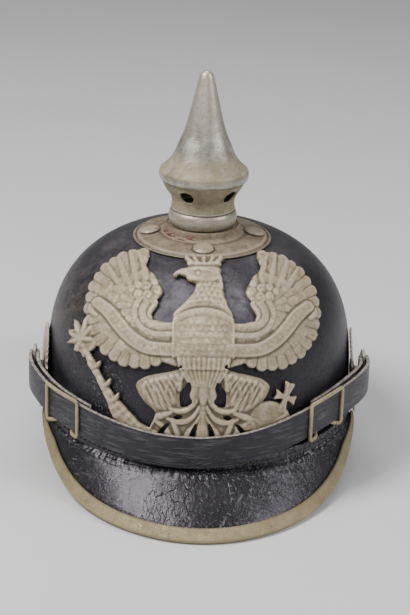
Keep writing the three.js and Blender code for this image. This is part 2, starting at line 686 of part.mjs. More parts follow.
/** The eagle's own outlines: the sheet, and the bold forms that stand higher on it. */
function eagleLayers() {
  const sheet = [];
  const bold = [];
  for (const hand of [-1, 1]) {
    sheet.push(featherRow(hand, 0, WING.feathers, [[14, 42], [10, 50], [12, 67.5], [22, 67.3],
      [28.5, 69], [29, 71.5], [26, 76.5], [27, 79], [24.8, 81.5], [23.4, 86], [26, 91],
      [30.5, 95.5], [33.5, 100], [31.5, 106]]));
    sheet.push(outlineShape(mirror(hand, [[5, 42], [16, 40], [27, 38], [34, 35.5], [37, 31],
      [35.5, 26], [31, 20], [26, 15.5], [26, 8], [30, 2], [30, -3], [8, -3], [0, 10], [3, 30]])));
    bold.push(outlineShape(mirror(hand, [[9, 41.5], [18, 39.2], [28, 37], [34, 34], [35.5, 30],
      [32, 24], [26, 18.5], [19, 17], [14.5, 22], [13.5, 29], [10, 35]])));
    bold.push(bandShape(mirror(hand, [[25.5, 79, 3], [31.5, 74, 5], [29, 66.5, 6],
      [22, 62.5, 6], [14, 62.5, 6]])));
    bold.push(bandShape(mirror(hand, [[60, 77.5, 6], [53, 72, 7.4], [46.5, 64, 7.4],
      [39, 57, 7.4], [30, 52.6, 7.2], [16, 52, 7]])));
    bold.push(bandShape(mirror(hand, [[3, 25, 3.4], [6.5, 20, 3.4], [11, 17.4, 3.4],
      [17, 18, 3]])));
    bold.push(bandShape(mirror(hand, [[15, -2, 4], [17, 5, 4.4], [23, 11.5, 4.4],
      [27, 10, 4]])));
  }
  sheet.push(outlineShape([[-10.5, 106], [-8.6, 100.2], [-13, 98.2], [-17.6, 94.4],
    [-14.5, 93.7], [-11, 93], [-9, 90.6], [-5.2, 89.6], [-5.4, 86.5], [-9.5, 80.5], [-14.5, 75.5],
    [-17.6, 70], [-17.4, 58], [-14.5, 46], [-11, 41], [-4, 20], [0, -3], [4, 20], [10, 41],
    [14, 46], [16.6, 58], [16.6, 69], [13.6, 78], [12, 83], [10.8, 88], [10.7, 94], [10.6, 98],
    [9, 100.2], [12, 106]]));
  bold.push(outlineShape([[-16, 93.8], [-11.5, 97.4], [-4, 99], [5, 98.8], [9.2, 96], [9.4, 88],
    [11.5, 81], [14.4, 74.5], [9, 76.5], [0, 78.6], [-9, 76.5], [-13, 73.8], [-8, 80], [-3, 86.6],
    [-3.6, 90.6], [-8, 92]]));
  bold.push(outlineShape([[-15.5, 48], [14.8, 48], [15, 68], [8, 71.4], [0, 72.6],
    [-8, 71.4], [-16, 68]]));
  bold.push(bandShape([[-16, 68.5, 4], [-9, 72.7, 4.4], [0, 74.2, 4.6], [9, 72.7, 4.4],
    [15.4, 68.5, 4]]));
  bold.push(bandShape([[-9.6, 101.3, 2.4], [0, 100.6, 2.4], [10, 101.3, 2.4]]));
  bold.push(bandShape([[0, 44, 9], [0, 32, 7], [0, 20, 6], [0, 8, 7], [0, -3, 9]]));
  return { sheet, bold };
}

/** Sceptre on the left and orb with its cross on the right, held in the claws. */
function heldLayers() {
  const sheet = [
    bandShape([[-67, 52, 5], [-62, 42, 5.6], [-56, 31, 5.6], [-50, 21, 8], [-45, 14.5, 8.6],
      [-37, 8.5, 6], [-27, 4, 6]]),
    outlineShape([[-63.5, 51], [-60.5, 53.5], [-60, 57], [-62.5, 60], [-63, 66], [-66.5, 71],
      [-68.5, 64.5], [-73, 70], [-75.5, 63], [-78.5, 60], [-75, 52], [-69.5, 47.6]]),
    bandShape([[45, 20, 3.4], [49, 26.5, 4.2], [51.5, 33, 7]]),
    bandShape([[43, 29.4, 5], [48.8, 26.6, 3.4], [55.5, 21.5, 5]]),
  ];
  const orb = new THREE.Shape();
  orb.absarc(38.6, 10, 12.4, 0, Math.PI * 2);
  const orbTop = new THREE.Shape();
  orbTop.absarc(38.6, 10, 10.4, 0, Math.PI * 2);
  sheet.push(orb, bandShape([[22, 10, 7], [30, 8, 9]]));
  const bold = [orbTop, bandShape([[-66, 50, 2.4], [-58, 35, 3], [-50.5, 22, 5], [-45, 14.8, 5.4],
    [-36, 8, 3]]), outlineShape([[-66, 52], [-63, 57], [-66.5, 66], [-70, 60], [-74, 60], [-72, 53]])];
  return { sheet, bold };
}

/** Piercings of the lower half of the eagle. */
function piercings() {
  const holes = [];
  for (const hand of [-1, 1]) {
    holes.push(outlineShape(mirror(hand, [[7.2, 34], [10, 32], [12.4, 27.6], [12.4, 21], [9.5, 20.6],
      [5.9, 23.2], [7.6, 27]])));
    holes.push(outlineShape(mirror(hand, [[11.6, 14.4], [13.6, 15.3], [16.2, 14], [13.6, 13.1]])));
    holes.push(outlineShape(mirror(hand, [[18.6, 10.2], [21.4, 9.6], [24.6, 4.4], [23.2, 3.4],
      [20.6, 6.8]])));
    holes.push(outlineShape(mirror(hand, [[3.6, 11.4], [6, 7], [6.6, 2.4], [4.8, 2.6],
      [3.8, 6.4]])));
  }
  return holes;
}

function eagleGeometry() {
  const eagle = eagleLayers();
  const held = heldLayers();
  const levels = [
    { inner: 1, outer: 2, shapes: [...eagle.sheet, ...held.sheet] },
    { inner: 1.1, outer: 3.3, shapes: [...eagle.bold, ...held.bold] },
  ];
  let plate = null;
  for (const { inner, outer, shapes } of levels) {
    const outlines = shapes.map(prism);
    const layer = domeSheet(inner, outer).intersect(wasm.Manifold.union(outlines));
    plate = plate ? plate.add(layer) : layer;
  }
  plate = plate.subtract(wasm.Manifold.union(piercings().map(prism)));
  const rim = new THREE.CylinderGeometry(PLATE.radius + GAP + 0.2, PLATE.radius + GAP + 0.2, 40, 36);
  rim.rotateX(Math.PI / 2).translate(0, 0, PLATE.rimZ);
  return geometryOf(plate.subtract(solid(rim)));
}

// ---- assembly ---------------------------------------------------------------------------
addPiece('skull', skullGeometry(), leather());
addPiece('front_visor', brimGeometry(PEAK, -1, TRIM.nose + GAP), leather());
addPiece('front_visor_trim', peakTrimGeometry(), steelPaint());
addPiece('neck_guard', brimGeometry(NECK, 1, 0), leather());
addPiece('rear_spine', spineGeometry(), steelPaint());
addPiece('base_plate', basePlateGeometry(), steelPaint());
addStuds();
addPiece('spike', spikeGeometry(), paint(0xa3a18f, 0.4, 0.55));
addPiece('front_plate', eagleGeometry(), steelPaint());
addPiece('chin_strap', strapGeometry(), leather());
for (const [name, hand, at] of [['left', -1, BUCKLE.leftAt], ['right', 1, BUCKLE.rightAt]]) {
  addPiece(`buckle_${name}`, buckleGeometry(hand, at), bucklePaint());
  addPiece(`strap_lug_${name}`, lugGeometry(hand), steelPaint());
  addPiece(`side_post_${name}`, postGeometry(hand), steelPaint());
  addPiece(`cockade_${name}`, cockadeGeometry(hand), paint(0x8f5a4a, 0.6, 0.2));
}

export default helmet;
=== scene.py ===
# Spiked leather helmet of the 1915 pattern with grey-painted steel fittings. Each piece is drawn
# in millimetres about the spike's axis, front towards -Y, and lies over its solid of the frame.
import math

import bpy
import numpy as np
from mathutils import Matrix, Vector
from mathutils.geometry import delaunay_2d_cdt


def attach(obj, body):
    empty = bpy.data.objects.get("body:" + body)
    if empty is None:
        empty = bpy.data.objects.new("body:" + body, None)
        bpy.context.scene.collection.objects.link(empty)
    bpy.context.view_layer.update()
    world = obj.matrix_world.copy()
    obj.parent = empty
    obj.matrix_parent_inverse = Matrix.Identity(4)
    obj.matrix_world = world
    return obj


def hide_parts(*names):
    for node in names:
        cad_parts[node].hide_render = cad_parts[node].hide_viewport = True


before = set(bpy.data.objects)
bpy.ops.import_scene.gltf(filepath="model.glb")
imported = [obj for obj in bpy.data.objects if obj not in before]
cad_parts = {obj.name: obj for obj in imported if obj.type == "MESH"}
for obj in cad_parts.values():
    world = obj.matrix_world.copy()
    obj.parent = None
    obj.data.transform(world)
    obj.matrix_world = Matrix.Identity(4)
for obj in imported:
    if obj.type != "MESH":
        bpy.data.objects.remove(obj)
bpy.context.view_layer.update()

# ---- Skull ----------------------------------------------------------------------------------
# A bowl of thick black lacquered cowhide, blocked wet over a wooden form. Its crown is pressed
# flat under the base plate and pierced for air; the fittings are riveted and sewn to it.
MM = 0.001
SPIKE_AXIS_Y = 0.95             # the spike's axis from the middle of the helmet's length
SKULL = dict(half_width=94.5, half_front=108.0, half_rear=112.0, rim=29.0, crown=136.5,
             seat=132.0, height_power=3.7, width_power=2.28, wall=2.8, vent=9.0, lip=0.9,
             top_climb=67.4)
LACQUER_TINT = (0.92, 0.88, 1, 1)


def half_length(y):
    """Half the skull's length on the side of the axis that y is on."""
    return np.where(np.asarray(y) < 0, SKULL["half_front"], SKULL["half_rear"])


def dome_points(side, climb):
    """Points on the dome: side 0 is the front, climb runs from the rim to the crown."""
    side, climb = np.broadcast_arrays(np.asarray(side, float), np.asarray(climb, float))
    share = (np.cos(climb) ** 2) ** (1 / SKULL["width_power"])
    rise = (np.sin(climb) ** 2) ** (1 / SKULL["height_power"])
    y = -share * np.cos(side)
    return np.stack([SKULL["half_width"] * share * np.sin(side), y * half_length(y),
                     SKULL["rim"] + rise * (SKULL["crown"] - SKULL["rim"])], -1)


def unit(vectors):
    """The vectors at a length of 1."""
    return vectors / np.linalg.norm(vectors, axis=-1, keepdims=True)


def dome_normals(points):
    """Unit normals of the dome at points on it."""
    x, y, z = np.moveaxis(points, -1, 0)
    half = half_length(y)
    depth = SKULL["crown"] - SKULL["rim"]
    share = np.maximum((x / SKULL["half_width"]) ** 2 + (y / half) ** 2, 1e-6)
    slope = SKULL["width_power"] * share ** (SKULL["width_power"] / 2 - 1)
    rise = np.maximum(z - SKULL["rim"], 0) / depth
    upward = SKULL["height_power"] * rise ** (SKULL["height_power"] - 1) / depth
    return unit(np.stack([slope * x / SKULL["half_width"] ** 2, slope * y / half ** 2,
                          upward], -1))


def add_piece(name, points, faces, materials, body, *nodes, flat=False):
    """A mesh piece from points in millimetres, which stands for its solids of the frame."""
    mesh = bpy.data.meshes.new(name)
    placed = (np.asarray(points, float) + (0, SPIKE_AXIS_Y, 0)) * MM
    mesh.from_pydata([tuple(p) for p in placed], [], [tuple(map(int, f)) for f in faces])
    mesh.validate()
    if not flat:
        mesh.shade_smooth()
    piece = bpy.data.objects.new(name, mesh)
    bpy.context.scene.collection.objects.link(piece)
    for material in materials:
        mesh.materials.append(material)
    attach(piece, body)
    if nodes:
        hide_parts(*nodes)
    return piece


def quads(runs, count, ring=False):
    """Quads between closed sections of equal count; a ring joins the last to the first."""
    return [(s * count + k, s * count + (k + 1) % count,
             (s + 1) % runs * count + (k + 1) % count, (s + 1) % runs * count + k)
            for s in range(runs if ring else runs - 1) for k in range(count)]


def outward_faces(points, faces):
    """The same faces, turned so that the closed form they bound has a positive volume."""
    fans = np.array([(face[0], *pair) for face in faces for pair in zip(face[1:], face[2:])])
    a, b, c = np.moveaxis(points[fans], 1, 0)
    volume = np.sum(a * np.cross(b, c))
    return faces if volume > 0 else [tuple(reversed(face)) for face in faces]


def loft(sections, ring=False):
    """Points and faces through closed sections of equal count, capped unless they ring."""
    sections = np.asarray(sections, float)
    runs, count = sections.shape[:2]
    faces = quads(runs, count, ring)
    if not ring:
        faces.append(tuple(range(count - 1, -1, -1)))
        faces.append(tuple(range((runs - 1) * count, runs * count)))
    points = sections.reshape(-1, 3)
    return points, outward_faces(points, faces)


def only_used(points, faces):
    """The same faces without the points that none of them has."""
    used = sorted({i for face in faces for i in face})
    index = {old: new for new, old in enumerate(used)}
    return points[used], [tuple(index[i] for i in face) for face in faces]


def lathe(profile, steps):
    """A turned piece about +Z from a closed profile of [radius, z] rows, welded at its poles."""
    profile = np.asarray(profile, float)
    turns = np.linspace(0, 2 * math.pi, steps, endpoint=False)
    sections = [np.stack([profile[:, 0] * math.sin(t), -profile[:, 0] * math.cos(t),
                          profile[:, 1]], -1) for t in turns]
    points, faces = loft(sections, ring=True)
    count = len(profile)
    pole = [i % count if profile[i % count, 0] == 0 else i for i in range(len(points))]
    faces = [tuple(dict.fromkeys(pole[i] for i in face)) for face in faces]
    return only_used(points, [face for face in faces if len(face) > 2])


def rounded(profile, radius, steps=3):
    """A closed profile with its corners cut to small arcs."""
    profile = np.asarray(profile, float)
    out = []
    for k, corner in enumerate(profile):
        before, after = profile[k - 1] - corner, profile[(k + 1) % len(profile)] - corner
        back, ahead = np.linalg.norm(before), np.linalg.norm(after)
        reach = min(radius, 0.45 * back, 0.45 * ahead)
        start = corner + before / max(back, 1e-9) * reach
        end = corner + after / max(ahead, 1e-9) * reach
        for t in np.linspace(0, 1, steps + 1):
            out.append((1 - t) ** 2 * start + 2 * t * (1 - t) * corner + t ** 2 * end)
    return np.array(out)


def skull_mesh():
    """The bowl turned at its half width, then drawn out to its length front and rear."""
    climbs = np.linspace(0, math.radians(SKULL["top_climb"]), 64)
    outside = dome_points(math.pi / 2, climbs)
    wall, seat, vent, bottom = SKULL["wall"], SKULL["seat"], SKULL["vent"], SKULL["rim"]
    inside = outside - wall * dome_normals(outside)
    inside[:, 2] = np.maximum(inside[:, 2], bottom)
    inside = inside[inside[:, 2] < seat - wall - 0.3]
    middle = SKULL["half_width"] - wall / 2
    rows = [(x, z) for x, _, z in outside[1:]]
    rows += [(vent + 0.5, seat), (vent, seat - 0.6), (vent, seat - wall)]
    rows += [(x, z) for x, _, z in inside[::-1][:-1]]
    rows += [(middle - wall / 2, bottom + SKULL["lip"]), (middle - 0.6, bottom),
             (middle + 0.6, bottom), (middle + wall / 2, bottom + SKULL["lip"])]
    points, faces = lathe(rows, 160)
    y = points[:, 1]
    points[:, 1] = y * half_length(y) / SKULL["half_width"]
    return points, faces


def feed(tree, made, inputs):
    """Sets a node's inputs; each takes a value or another node's socket."""
    for key, value in dict(inputs).items():
        if isinstance(value, bpy.types.NodeSocket):
            tree.links.new(value, made.inputs[key])
        else:
            made.inputs[key].default_value = value
    return made


def put(tree, kind, inputs=(), **settings):
    """Adds a shader node with its settings and inputs."""
    made = tree.nodes.new("ShaderNode" + kind)
    for key, value in settings.items():
        setattr(made, key, value)
    return feed(tree, made, inputs)


def object_place(tree):
    return put(tree, "TexCoord").outputs["Object"]


def stretched(tree, where, scale):
    return put(tree, "Mapping", {"Vector": where, "Scale": scale}).outputs[0]


def noise(tree, where, scale, detail=2.0, rough=0.5):
    """The level of a cloudy noise, from 0 to 1."""
    return put(tree, "TexNoise", {"Vector": where, "Scale": scale, "Detail": detail,
                                  "Roughness": rough}).outputs["Fac"]


def ramp(tree, factor, stops):
    """A colour ramp from (position, colour) stops."""
    made = put(tree, "ValToRGB", {"Fac": factor})
    band = made.color_ramp.elements
    while len(band) < len(stops):
        band.new(0.5)
    for element, (position, colour) in zip(band, stops):
        element.position = position
        element.color = (*colour, 1) if len(colour) == 3 else colour
    return made.outputs["Color"]


def span(tree, value, low, high, to_low=0.0, to_high=1.0):
    """A value carried from one range to another and held at its ends."""
    return put(tree, "MapRange", {"Value": value, "From Min": low, "From Max": high,
                                  "To Min": to_low, "To Max": to_high}).outputs["Result"]


def math_node(tree, operation, first, second):
    return put(tree, "Math", {0: first, 1: second}, operation=operation).outputs["Value"]


def times(tree, first, second):
    return math_node(tree, "MULTIPLY", first, second)


def larger(tree, first, second):
    return math_node(tree, "MAXIMUM", first, second)


def mix(tree, factor, first, second, share=1.0):
    """Two colours mixed by a share of the factor."""
    if share != 1:
        factor = times(tree, factor, share)
    first, second = (colour if isinstance(colour, bpy.types.NodeSocket) else (*colour, 1)
                     for colour in (first, second))
    made = put(tree, "Mix", {0: factor}, data_type="RGBA")
    return feed(tree, made, {6: first, 7: second}).outputs[2]


def new_effect(name, inputs, outputs):
    """An empty shader node group with named float or vector inputs and float outputs."""
    group = bpy.data.node_groups.new(name, "ShaderNodeTree")
    for label, value in inputs.items():
        kind = "NodeSocketVector" if isinstance(value, tuple) else "NodeSocketFloat"
        socket = group.interface.new_socket(label, in_out="INPUT", socket_type=kind)
        socket.default_value = value
    for label in outputs:
        group.interface.new_socket(label, in_out="OUTPUT", socket_type="NodeSocketFloat")
    return group, group.nodes.new("NodeGroupInput").outputs, group.nodes.new("NodeGroupOutput")


def effect(tree, group, inputs):
    """Places a node group in a material with its own values and returns its outputs."""
    made = tree.nodes.new("ShaderNodeGroup")
    made.node_tree = group
    return feed(tree, made, inputs).outputs


def crackle_group():
    """Fine net of cracks in old lacquer, broken up into patches, over a pored grain."""
    group, given, out = new_effect("lacquer_crackle", {
        "Cells": 260.0, "Stretch": (1.0, 1.0, 1.0), "Line": 0.05, "Patches": 18.0,
        "Grain": 900.0}, ["Cracks", "Grain"])
    where = object_place(group)
    bent = put(group, "TexNoise", {"Vector": where, "Scale": 60.0, "Detail": 3.0})
    shifted = put(group, "VectorMath", {0: bent.outputs["Color"], "Scale": 0.006},
                  operation="SCALE").outputs[0]
    moved = put(group, "VectorMath", {0: where, 1: shifted}, operation="ADD").outputs[0]
    laid = put(group, "VectorMath", {0: moved, 1: given["Stretch"]},
               operation="MULTIPLY").outputs[0]
    cells = put(group, "TexVoronoi", {"Vector": laid, "Scale": given["Cells"]},
                feature="DISTANCE_TO_EDGE").outputs["Distance"]
    line = span(group, cells, 0.0, given["Line"], 1.0, 0.0)
    patches = span(group, noise(group, where, given["Patches"], 4.0), 0.44, 0.6)
    feed(group, out, {"Cracks": times(group, line, patches),
                      "Grain": noise(group, where, given["Grain"], 5.0, 0.65)})
    return group


def scratch_group():
    """Thin straight scratches along one direction, gathered in patches."""
    group, given, out = new_effect("fine_scratches", {
        "Turn": (0.0, 0.0, 0.0), "Fineness": 420.0, "Length": 0.03, "Cover": 0.5}, ["Scratches"])
    where = object_place(group)
    turned = put(group, "Mapping", {"Vector": where, "Rotation": given["Turn"]}).outputs[0]
    stretch = put(group, "CombineXYZ", {"X": given["Length"], "Y": 1.0, "Z": 1.0}).outputs[0]
    drawn = put(group, "VectorMath", {0: turned, 1: stretch}, operation="MULTIPLY").outputs[0]
    lines = span(group, noise(group, drawn, given["Fineness"]), 0.62, 0.68)
    low = math_node(group, "SUBTRACT", 1.0, given["Cover"])
    shown = span(group, noise(group, where, 22.0), low, math_node(group, "ADD", low, 0.12))
    feed(group, out, {"Scratches": times(group, lines, shown)})
    return group


def spot_group():
    """A soft round area about a point of the helmet, its edge broken by noise."""
    group, given, out = new_effect("soft_spot", {
        "Centre": (0.0, 0.0, 0.0), "Reach": 0.03, "Ragged": 0.4}, ["Mask"])
    where = object_place(group)
    apart = put(group, "VectorMath", {0: where, 1: given["Centre"]}, operation="DISTANCE")
    share = math_node(group, "DIVIDE", apart.outputs["Value"], given["Reach"])
    cloud = math_node(group, "SUBTRACT", noise(group, where, 45.0, 4.0), 0.5)
    broken = times(group, times(group, cloud, given["Ragged"]), 2.0)
    level = math_node(group, "ADD", share, broken)
    feed(group, out, {"Mask": span(group, level, 1.0, 0.35)})
    return group


crackle = crackle_group()
scratches = scratch_group()
soft_spot = spot_group()


def new_material(name, **constants):
    """A material whose Principled shader takes the given plain values."""
    material = bpy.data.materials.new(name)
    material.use_nodes = True
    shader = material.node_tree.nodes["Principled BSDF"]
    for label, value in constants.items():
        shader.inputs[label.replace("_", " ")].default_value = value
    return material, material.node_tree, shader


def dress(tree, shader, **sockets):
    """Feeds the shader's inputs, each named with a low line for its space."""
    for label, socket in sockets.items():
        tree.links.new(socket, shader.inputs[label.replace("_", " ")])


def bump(tree, shader, height, distance, strength):
    """Height in metres of relief, laid into the shader's normal."""
    made = put(tree, "Bump", {"Height": height, "Distance": distance, "Strength": strength})
    dress(tree, shader, Normal=made.outputs["Normal"])


def sum_of(tree, *parts, base=0.0):
    """Weighted sum of (socket, weight) pairs over a base."""
    total = base
    for socket, weight in parts:
        total = math_node(tree, "ADD", times(tree, socket, weight), total)
    return total


def crackled(tree, cells, stretch, line, patches, grain):
    return effect(tree, crackle, {"Cells": cells, "Stretch": stretch, "Line": line,
                                  "Patches": patches, "Grain": grain})


def scratched(tree, turn, fineness, length, cover):
    return effect(tree, scratches, {"Turn": turn, "Fineness": fineness, "Length": length,
                                    "Cover": cover})["Scratches"]


def spot(tree, x, y, z, reach, ragged):
    """A soft spot whose centre is in millimetres about the spike's axis."""
    return effect(tree, soft_spot, {"Centre": (x * MM, (y + SPIKE_AXIS_Y) * MM, z * MM),
                                    "Reach": reach * MM, "Ragged": ragged})["Mask"]


def skull_leather():
    """Black lacquer, hazy towards the crown with painted highlights on the upper front, browned on
    the left and scraped low in front.
    """
    material, tree, shader = new_material("skull_leather", IOR=1.42, Specular_Tint=LACQUER_TINT)
    where = object_place(tree)
    net = crackled(tree, 330.0, (1.0, 1.0, 0.6), 0.045, 24.0, 1100.0)
    cloud = noise(tree, where, 30.0, 5.0, 0.6)
    blotch = noise(tree, where, 95.0, 6.0, 0.7)
    brown = times(tree, spot(tree, -62, -34, 108, 50, 0.8), span(tree, blotch, 0.42, 0.62))
    # Lilac grey over the black: a dusty haze towards the crown, and two painted highlights on the
    # upper front, one each side of the middle.
    haze_and_highlight = larger(tree, times(tree, spot(tree, 0, -6, 134, 70, 0.7), 0.55),
                  larger(tree, spot(tree, -19, -74, 122, 24, 0.9),
                         spot(tree, 21, -74, 122, 24, 0.9)))
    dust_and_highlight = times(tree, haze_and_highlight, span(tree, blotch, 0.36, 0.66, 0.1, 0.85))
    scraped = times(tree, scratched(tree, (0.2, 0.62, -0.75), 760.0, 0.03, 0.7),
                    spot(tree, -53, -86, 62, 22, 0.2))
    side_marks = scratched(tree, (0.3, 0.5, 0.4), 520.0, 0.05, 0.46)
    marks = larger(tree, times(tree, side_marks, 0.3), scraped)
    colour = ramp(tree, cloud, [(0.3, (0.010, 0.010, 0.013)), (0.7, (0.020, 0.020, 0.026))])
    colour = mix(tree, brown, colour, (0.10, 0.075, 0.058), 0.5)
    colour = mix(tree, dust_and_highlight, colour, (0.175, 0.160, 0.185))
    colour = mix(tree, marks, colour, (0.24, 0.23, 0.235), 0.8)
    colour = mix(tree, net["Cracks"], colour, (0.09, 0.085, 0.095), 0.3)
    dress(tree, shader, Base_Color=colour,
          Roughness=sum_of(tree, (cloud, 0.16), (haze_and_highlight, 0.24), (net["Grain"], 0.1), (marks, 0.1),
                           base=0.22))
    bump(tree, shader, sum_of(tree, (net["Grain"], 0.4), (net["Cracks"], -0.6), (cloud, 1.6),
                              (blotch, 0.7)), 0.0007, 0.8)
    return material


add_piece("skull_shell", *skull_mesh(), [skull_leather()], "helmet", "skull")

# ---- Front visor ----------------------------------------------------------------------------
# A crescent of lacquered leather. Its inner edge is turned up the skull and sewn through it by a
# row of waxed stitches; the leather puckers along that bend and shines most on the flat of it.
BRIM = dict(leather=2.4, gap=0.3, sewn_top=35.0, skived=0.75)
PEAK = dict(half_width=98.0, half_length=148.0, bend=28.2, end=73.5, sweep=9.0, flat=30.0,
            rise_turn=48.0, rise=28.0, rise_power=2.6, bulge=1.6, edge_lift=0.8, back=-1)
TRIM = dict(sheet=0.9, width=8.0, nose=1.3)


def brim_points(brim, side, run):
    """Middle surface of a sewn brim: run -1 to 0 goes up the skull, 0 to 1 out to the edge."""
    side, run = np.broadcast_arrays(np.asarray(side, float), np.asarray(run, float))
    back = brim["back"]
    half = SKULL["half_rear"] if back > 0 else SKULL["half_front"]
    out = unit(np.stack([np.sin(side) / SKULL["half_width"], back * np.cos(side) / half,
                         np.zeros_like(side)], -1))
    bend = np.stack([np.sin(side) * SKULL["half_width"], back * np.cos(side) * half,
                     np.full_like(side, brim["bend"])], -1)
    bend += out * (BRIM["leather"] / 2 + BRIM["gap"])
    up = bend.copy()
    up[..., 2] -= run * (BRIM["sewn_top"] - brim["bend"])
    edge_side = side + math.radians(brim["sweep"]) * np.sin(2 * side)
    past = np.maximum(0, (np.abs(edge_side) - math.radians(brim["flat"]))
                      / math.radians(brim["rise_turn"]))
    edge = np.stack([brim["half_width"] * np.sin(edge_side),
                     back * brim["half_length"] * np.cos(edge_side),
                     brim["rise"] * past ** brim["rise_power"] + brim["edge_lift"]], -1)
    width = np.linalg.norm(edge - bend, axis=-1)
    flat = bend + (edge - bend) * np.clip(run, 0, 2)[..., None]
    crown = 4 * run * (1 - run) * brim["bulge"] * np.minimum(1, width / brim["half_length"] * 4)
    flat[..., 2] += crown
    return np.where((run <= 0)[..., None], up, flat)


def brim_width(brim, side):
    """How far the brim reaches from its bend to its edge."""
    return np.linalg.norm(brim_points(brim, side, 1.0) - brim_points(brim, side, 0.0), axis=-1)


def brim_surface(brim, side, run, lift):
    """Points off the middle surface by a lift along its normal, never under the table."""
    step = 0.01
    along = brim_points(brim, side + step, run) - brim_points(brim, side - step, run)
    out = brim_points(brim, side, run + step) - brim_points(brim, side, run - step)
    normal = np.cross(out, along)
    normal /= np.maximum(np.linalg.norm(normal, axis=-1, keepdims=True), 1e-9)
    outside = np.stack(np.broadcast_arrays(np.sin(side), brim["back"] * np.cos(side), 0.6), -1)
    normal *= np.where(np.sum(normal * outside, -1, keepdims=True) < 0, -1, 1)
    points = brim_points(brim, side, run) + normal * np.asarray(lift)[..., None]
    points[..., 2] = np.maximum(points[..., 2], 0)
    return points


def brim_sides(brim, steps):
    """Places from end to end of a brim, closer together towards the ends."""
    sides = np.linspace(-1, 1, steps + 1)
    return math.radians(brim["end"]) * sides * (1.4 - 0.4 * sides ** 2)


def trim_flange(width):
    """How far the trim lies over the leather; never more than half the brim."""
    return np.minimum(TRIM["width"], width * 0.5)


def groove(value, width):
    """A bell that is 1 where the value is 0."""
    return np.exp(-(value / width) ** 2)


def puckers(side, run):
    """Height of the small folds that the sewn bend draws out of the leather."""
    reach = np.exp(-((run - 0.02) / 0.13) ** 2)
    folds = reach * (0.34 * np.sin(side * 97 + 2 * np.sin(side * 31))
                     + 0.22 * np.sin(side * 171 + 1.3)) * (1 + 0.4 * np.sin(side * 23))
    bent = side * 83 + 2.2 * np.sin(side * 17 + run * 5) + 1.4 * np.sin(run * 13 + side * 40)
    creases = groove(np.sin(bent), 0.22) * np.exp(-((run - 0.16) / 0.26) ** 2)
    ladder = np.exp(-((run - 0.13) / 0.05) ** 4) * np.clip((1.15 - np.abs(side)) / 0.15, 0, 1)
    folds += 0.27 * ladder * (1 + np.cos(side * 151 + 0.8 * np.sin(side * 37)))
    return folds - 0.2 * creases * (0.6 + 0.6 * np.sin(side * 11 + 2)) * (run > 0.0)


def brim_mesh(brim, edge_inset, flange, steps=340):
    """A leather brim with its sewn strip, a rounded top edge and a skived outer edge."""
    sides = brim_sides(brim, steps)
    width = brim_width(brim, sides)
    last = 1 - edge_inset / width
    margin = 1 - trim_flange(width) / width if flange else np.full_like(width, 0.93)
    share = np.concatenate([np.linspace(-1, -0.25, 8), np.linspace(-0.18, -0.02, 5),
                            np.linspace(0, 0.22, 19), np.linspace(0.25, 0.985, 30), [1.0]])
    rows = np.where(share[:, None] > 0, share[:, None] * last[None], share[:, None])
    half = BRIM["leather"] / 2
    thin = np.clip((rows - margin[None] + 0.01) / 0.02, 0, 1)
    lift = half * (1 - (1 - BRIM["skived"]) * thin)
    tucked = np.where((share < -0.9)[:, None], lift * 0.72, lift)
    wavy = tucked + puckers(sides[None], rows)
    top = brim_surface(brim, sides[None], rows, wavy)
    under = brim_surface(brim, sides[None], rows, -tucked)
    return loft(np.concatenate([top, under[::-1]], 0).transpose(1, 0, 2))


def joined(forms):
    """The points and faces of several forms as one."""
    points, faces = [], []
    for more, ends in forms:
        faces += [tuple(len(points) + i for i in face) for face in ends]
        points += more.tolist()
    return np.array(points), faces


STITCH = ((-0.32, -0.25), (-0.18, 0.22), (0, 0.34), (0.18, 0.22), (0.32, -0.25))
THREAD_RADIUS = 0.36            # and a stitch's (share of the spacing, lift) rows above


def stitch_row(name, brim, body, material, height_run, spacing, first, last):
    """A row of short thread stitches along a sewn strip, each slightly sunk at its ends."""
    stitches, side = [], math.radians(first)
    turns = np.linspace(0, 2 * math.pi, 6, endpoint=False)[:, None]
    while side < math.radians(last):
        here = brim_surface(brim, np.array(side), np.array(height_run), np.array(1.25))
        step = spacing / max(np.linalg.norm(here[:2]), 1.0)
        slant = 0.25 * math.sin(len(stitches) * 2.4)
        out = np.array([math.sin(side), brim["back"] * math.cos(side), 0])
        ring = (out * np.cos(turns) + np.array([0, 0, 1]) * np.sin(turns)) * THREAD_RADIUS
        sections = []
        for k, (s, lift) in enumerate(STITCH):
            centre = brim_surface(brim, np.array(side + step * s), np.array(height_run),
                                  np.array(BRIM["leather"] / 2 + lift))
            sections.append(centre + ring + np.array([0, 0, slant * (k - 2) / 2]))
        stitches.append(loft(sections))
        side += step
    return add_piece(name, *joined(stitches), [material], body)


def brim_leather(name, gloss, cells, lines):
    """Lacquer crazed in cells drawn out along the bend, and cut by fine scratches."""
    material, tree, shader = new_material(name, IOR=1.52, Specular_Tint=LACQUER_TINT)
    net = crackled(tree, cells, (1.0, 0.2, 0.35), lines, 30.0, 1300.0)
    wide_net = crackled(tree, cells * 0.42, (1.0, 0.22, 0.5), 0.035, 14.0, 500.0)
    cuts = scratched(tree, (0.1, 0.1, 0.7), 700.0, 0.02, 0.6)
    cloud = noise(tree, object_place(tree), 38.0, 5.0, 0.62)
    cracks = larger(tree, net["Cracks"], times(tree, wide_net["Cracks"], 0.6))
    marks = larger(tree, times(tree, cuts, 0.7), times(tree, cracks, 0.26))
    tone = ramp(tree, cloud, [(0.3, (0.006, 0.006, 0.007)), (0.72, (0.018, 0.017, 0.021))])
    dress(tree, shader, Base_Color=mix(tree, marks, tone, (0.15, 0.142, 0.15)),
          Roughness=sum_of(tree, (cloud, 0.3), (net["Grain"], 0.1), (marks, 0.2), base=gloss))
    bump(tree, shader, sum_of(tree, (cracks, -0.9), (net["Grain"], 0.3), (cloud, 2.4)),
         0.0007, 0.9)
    return material


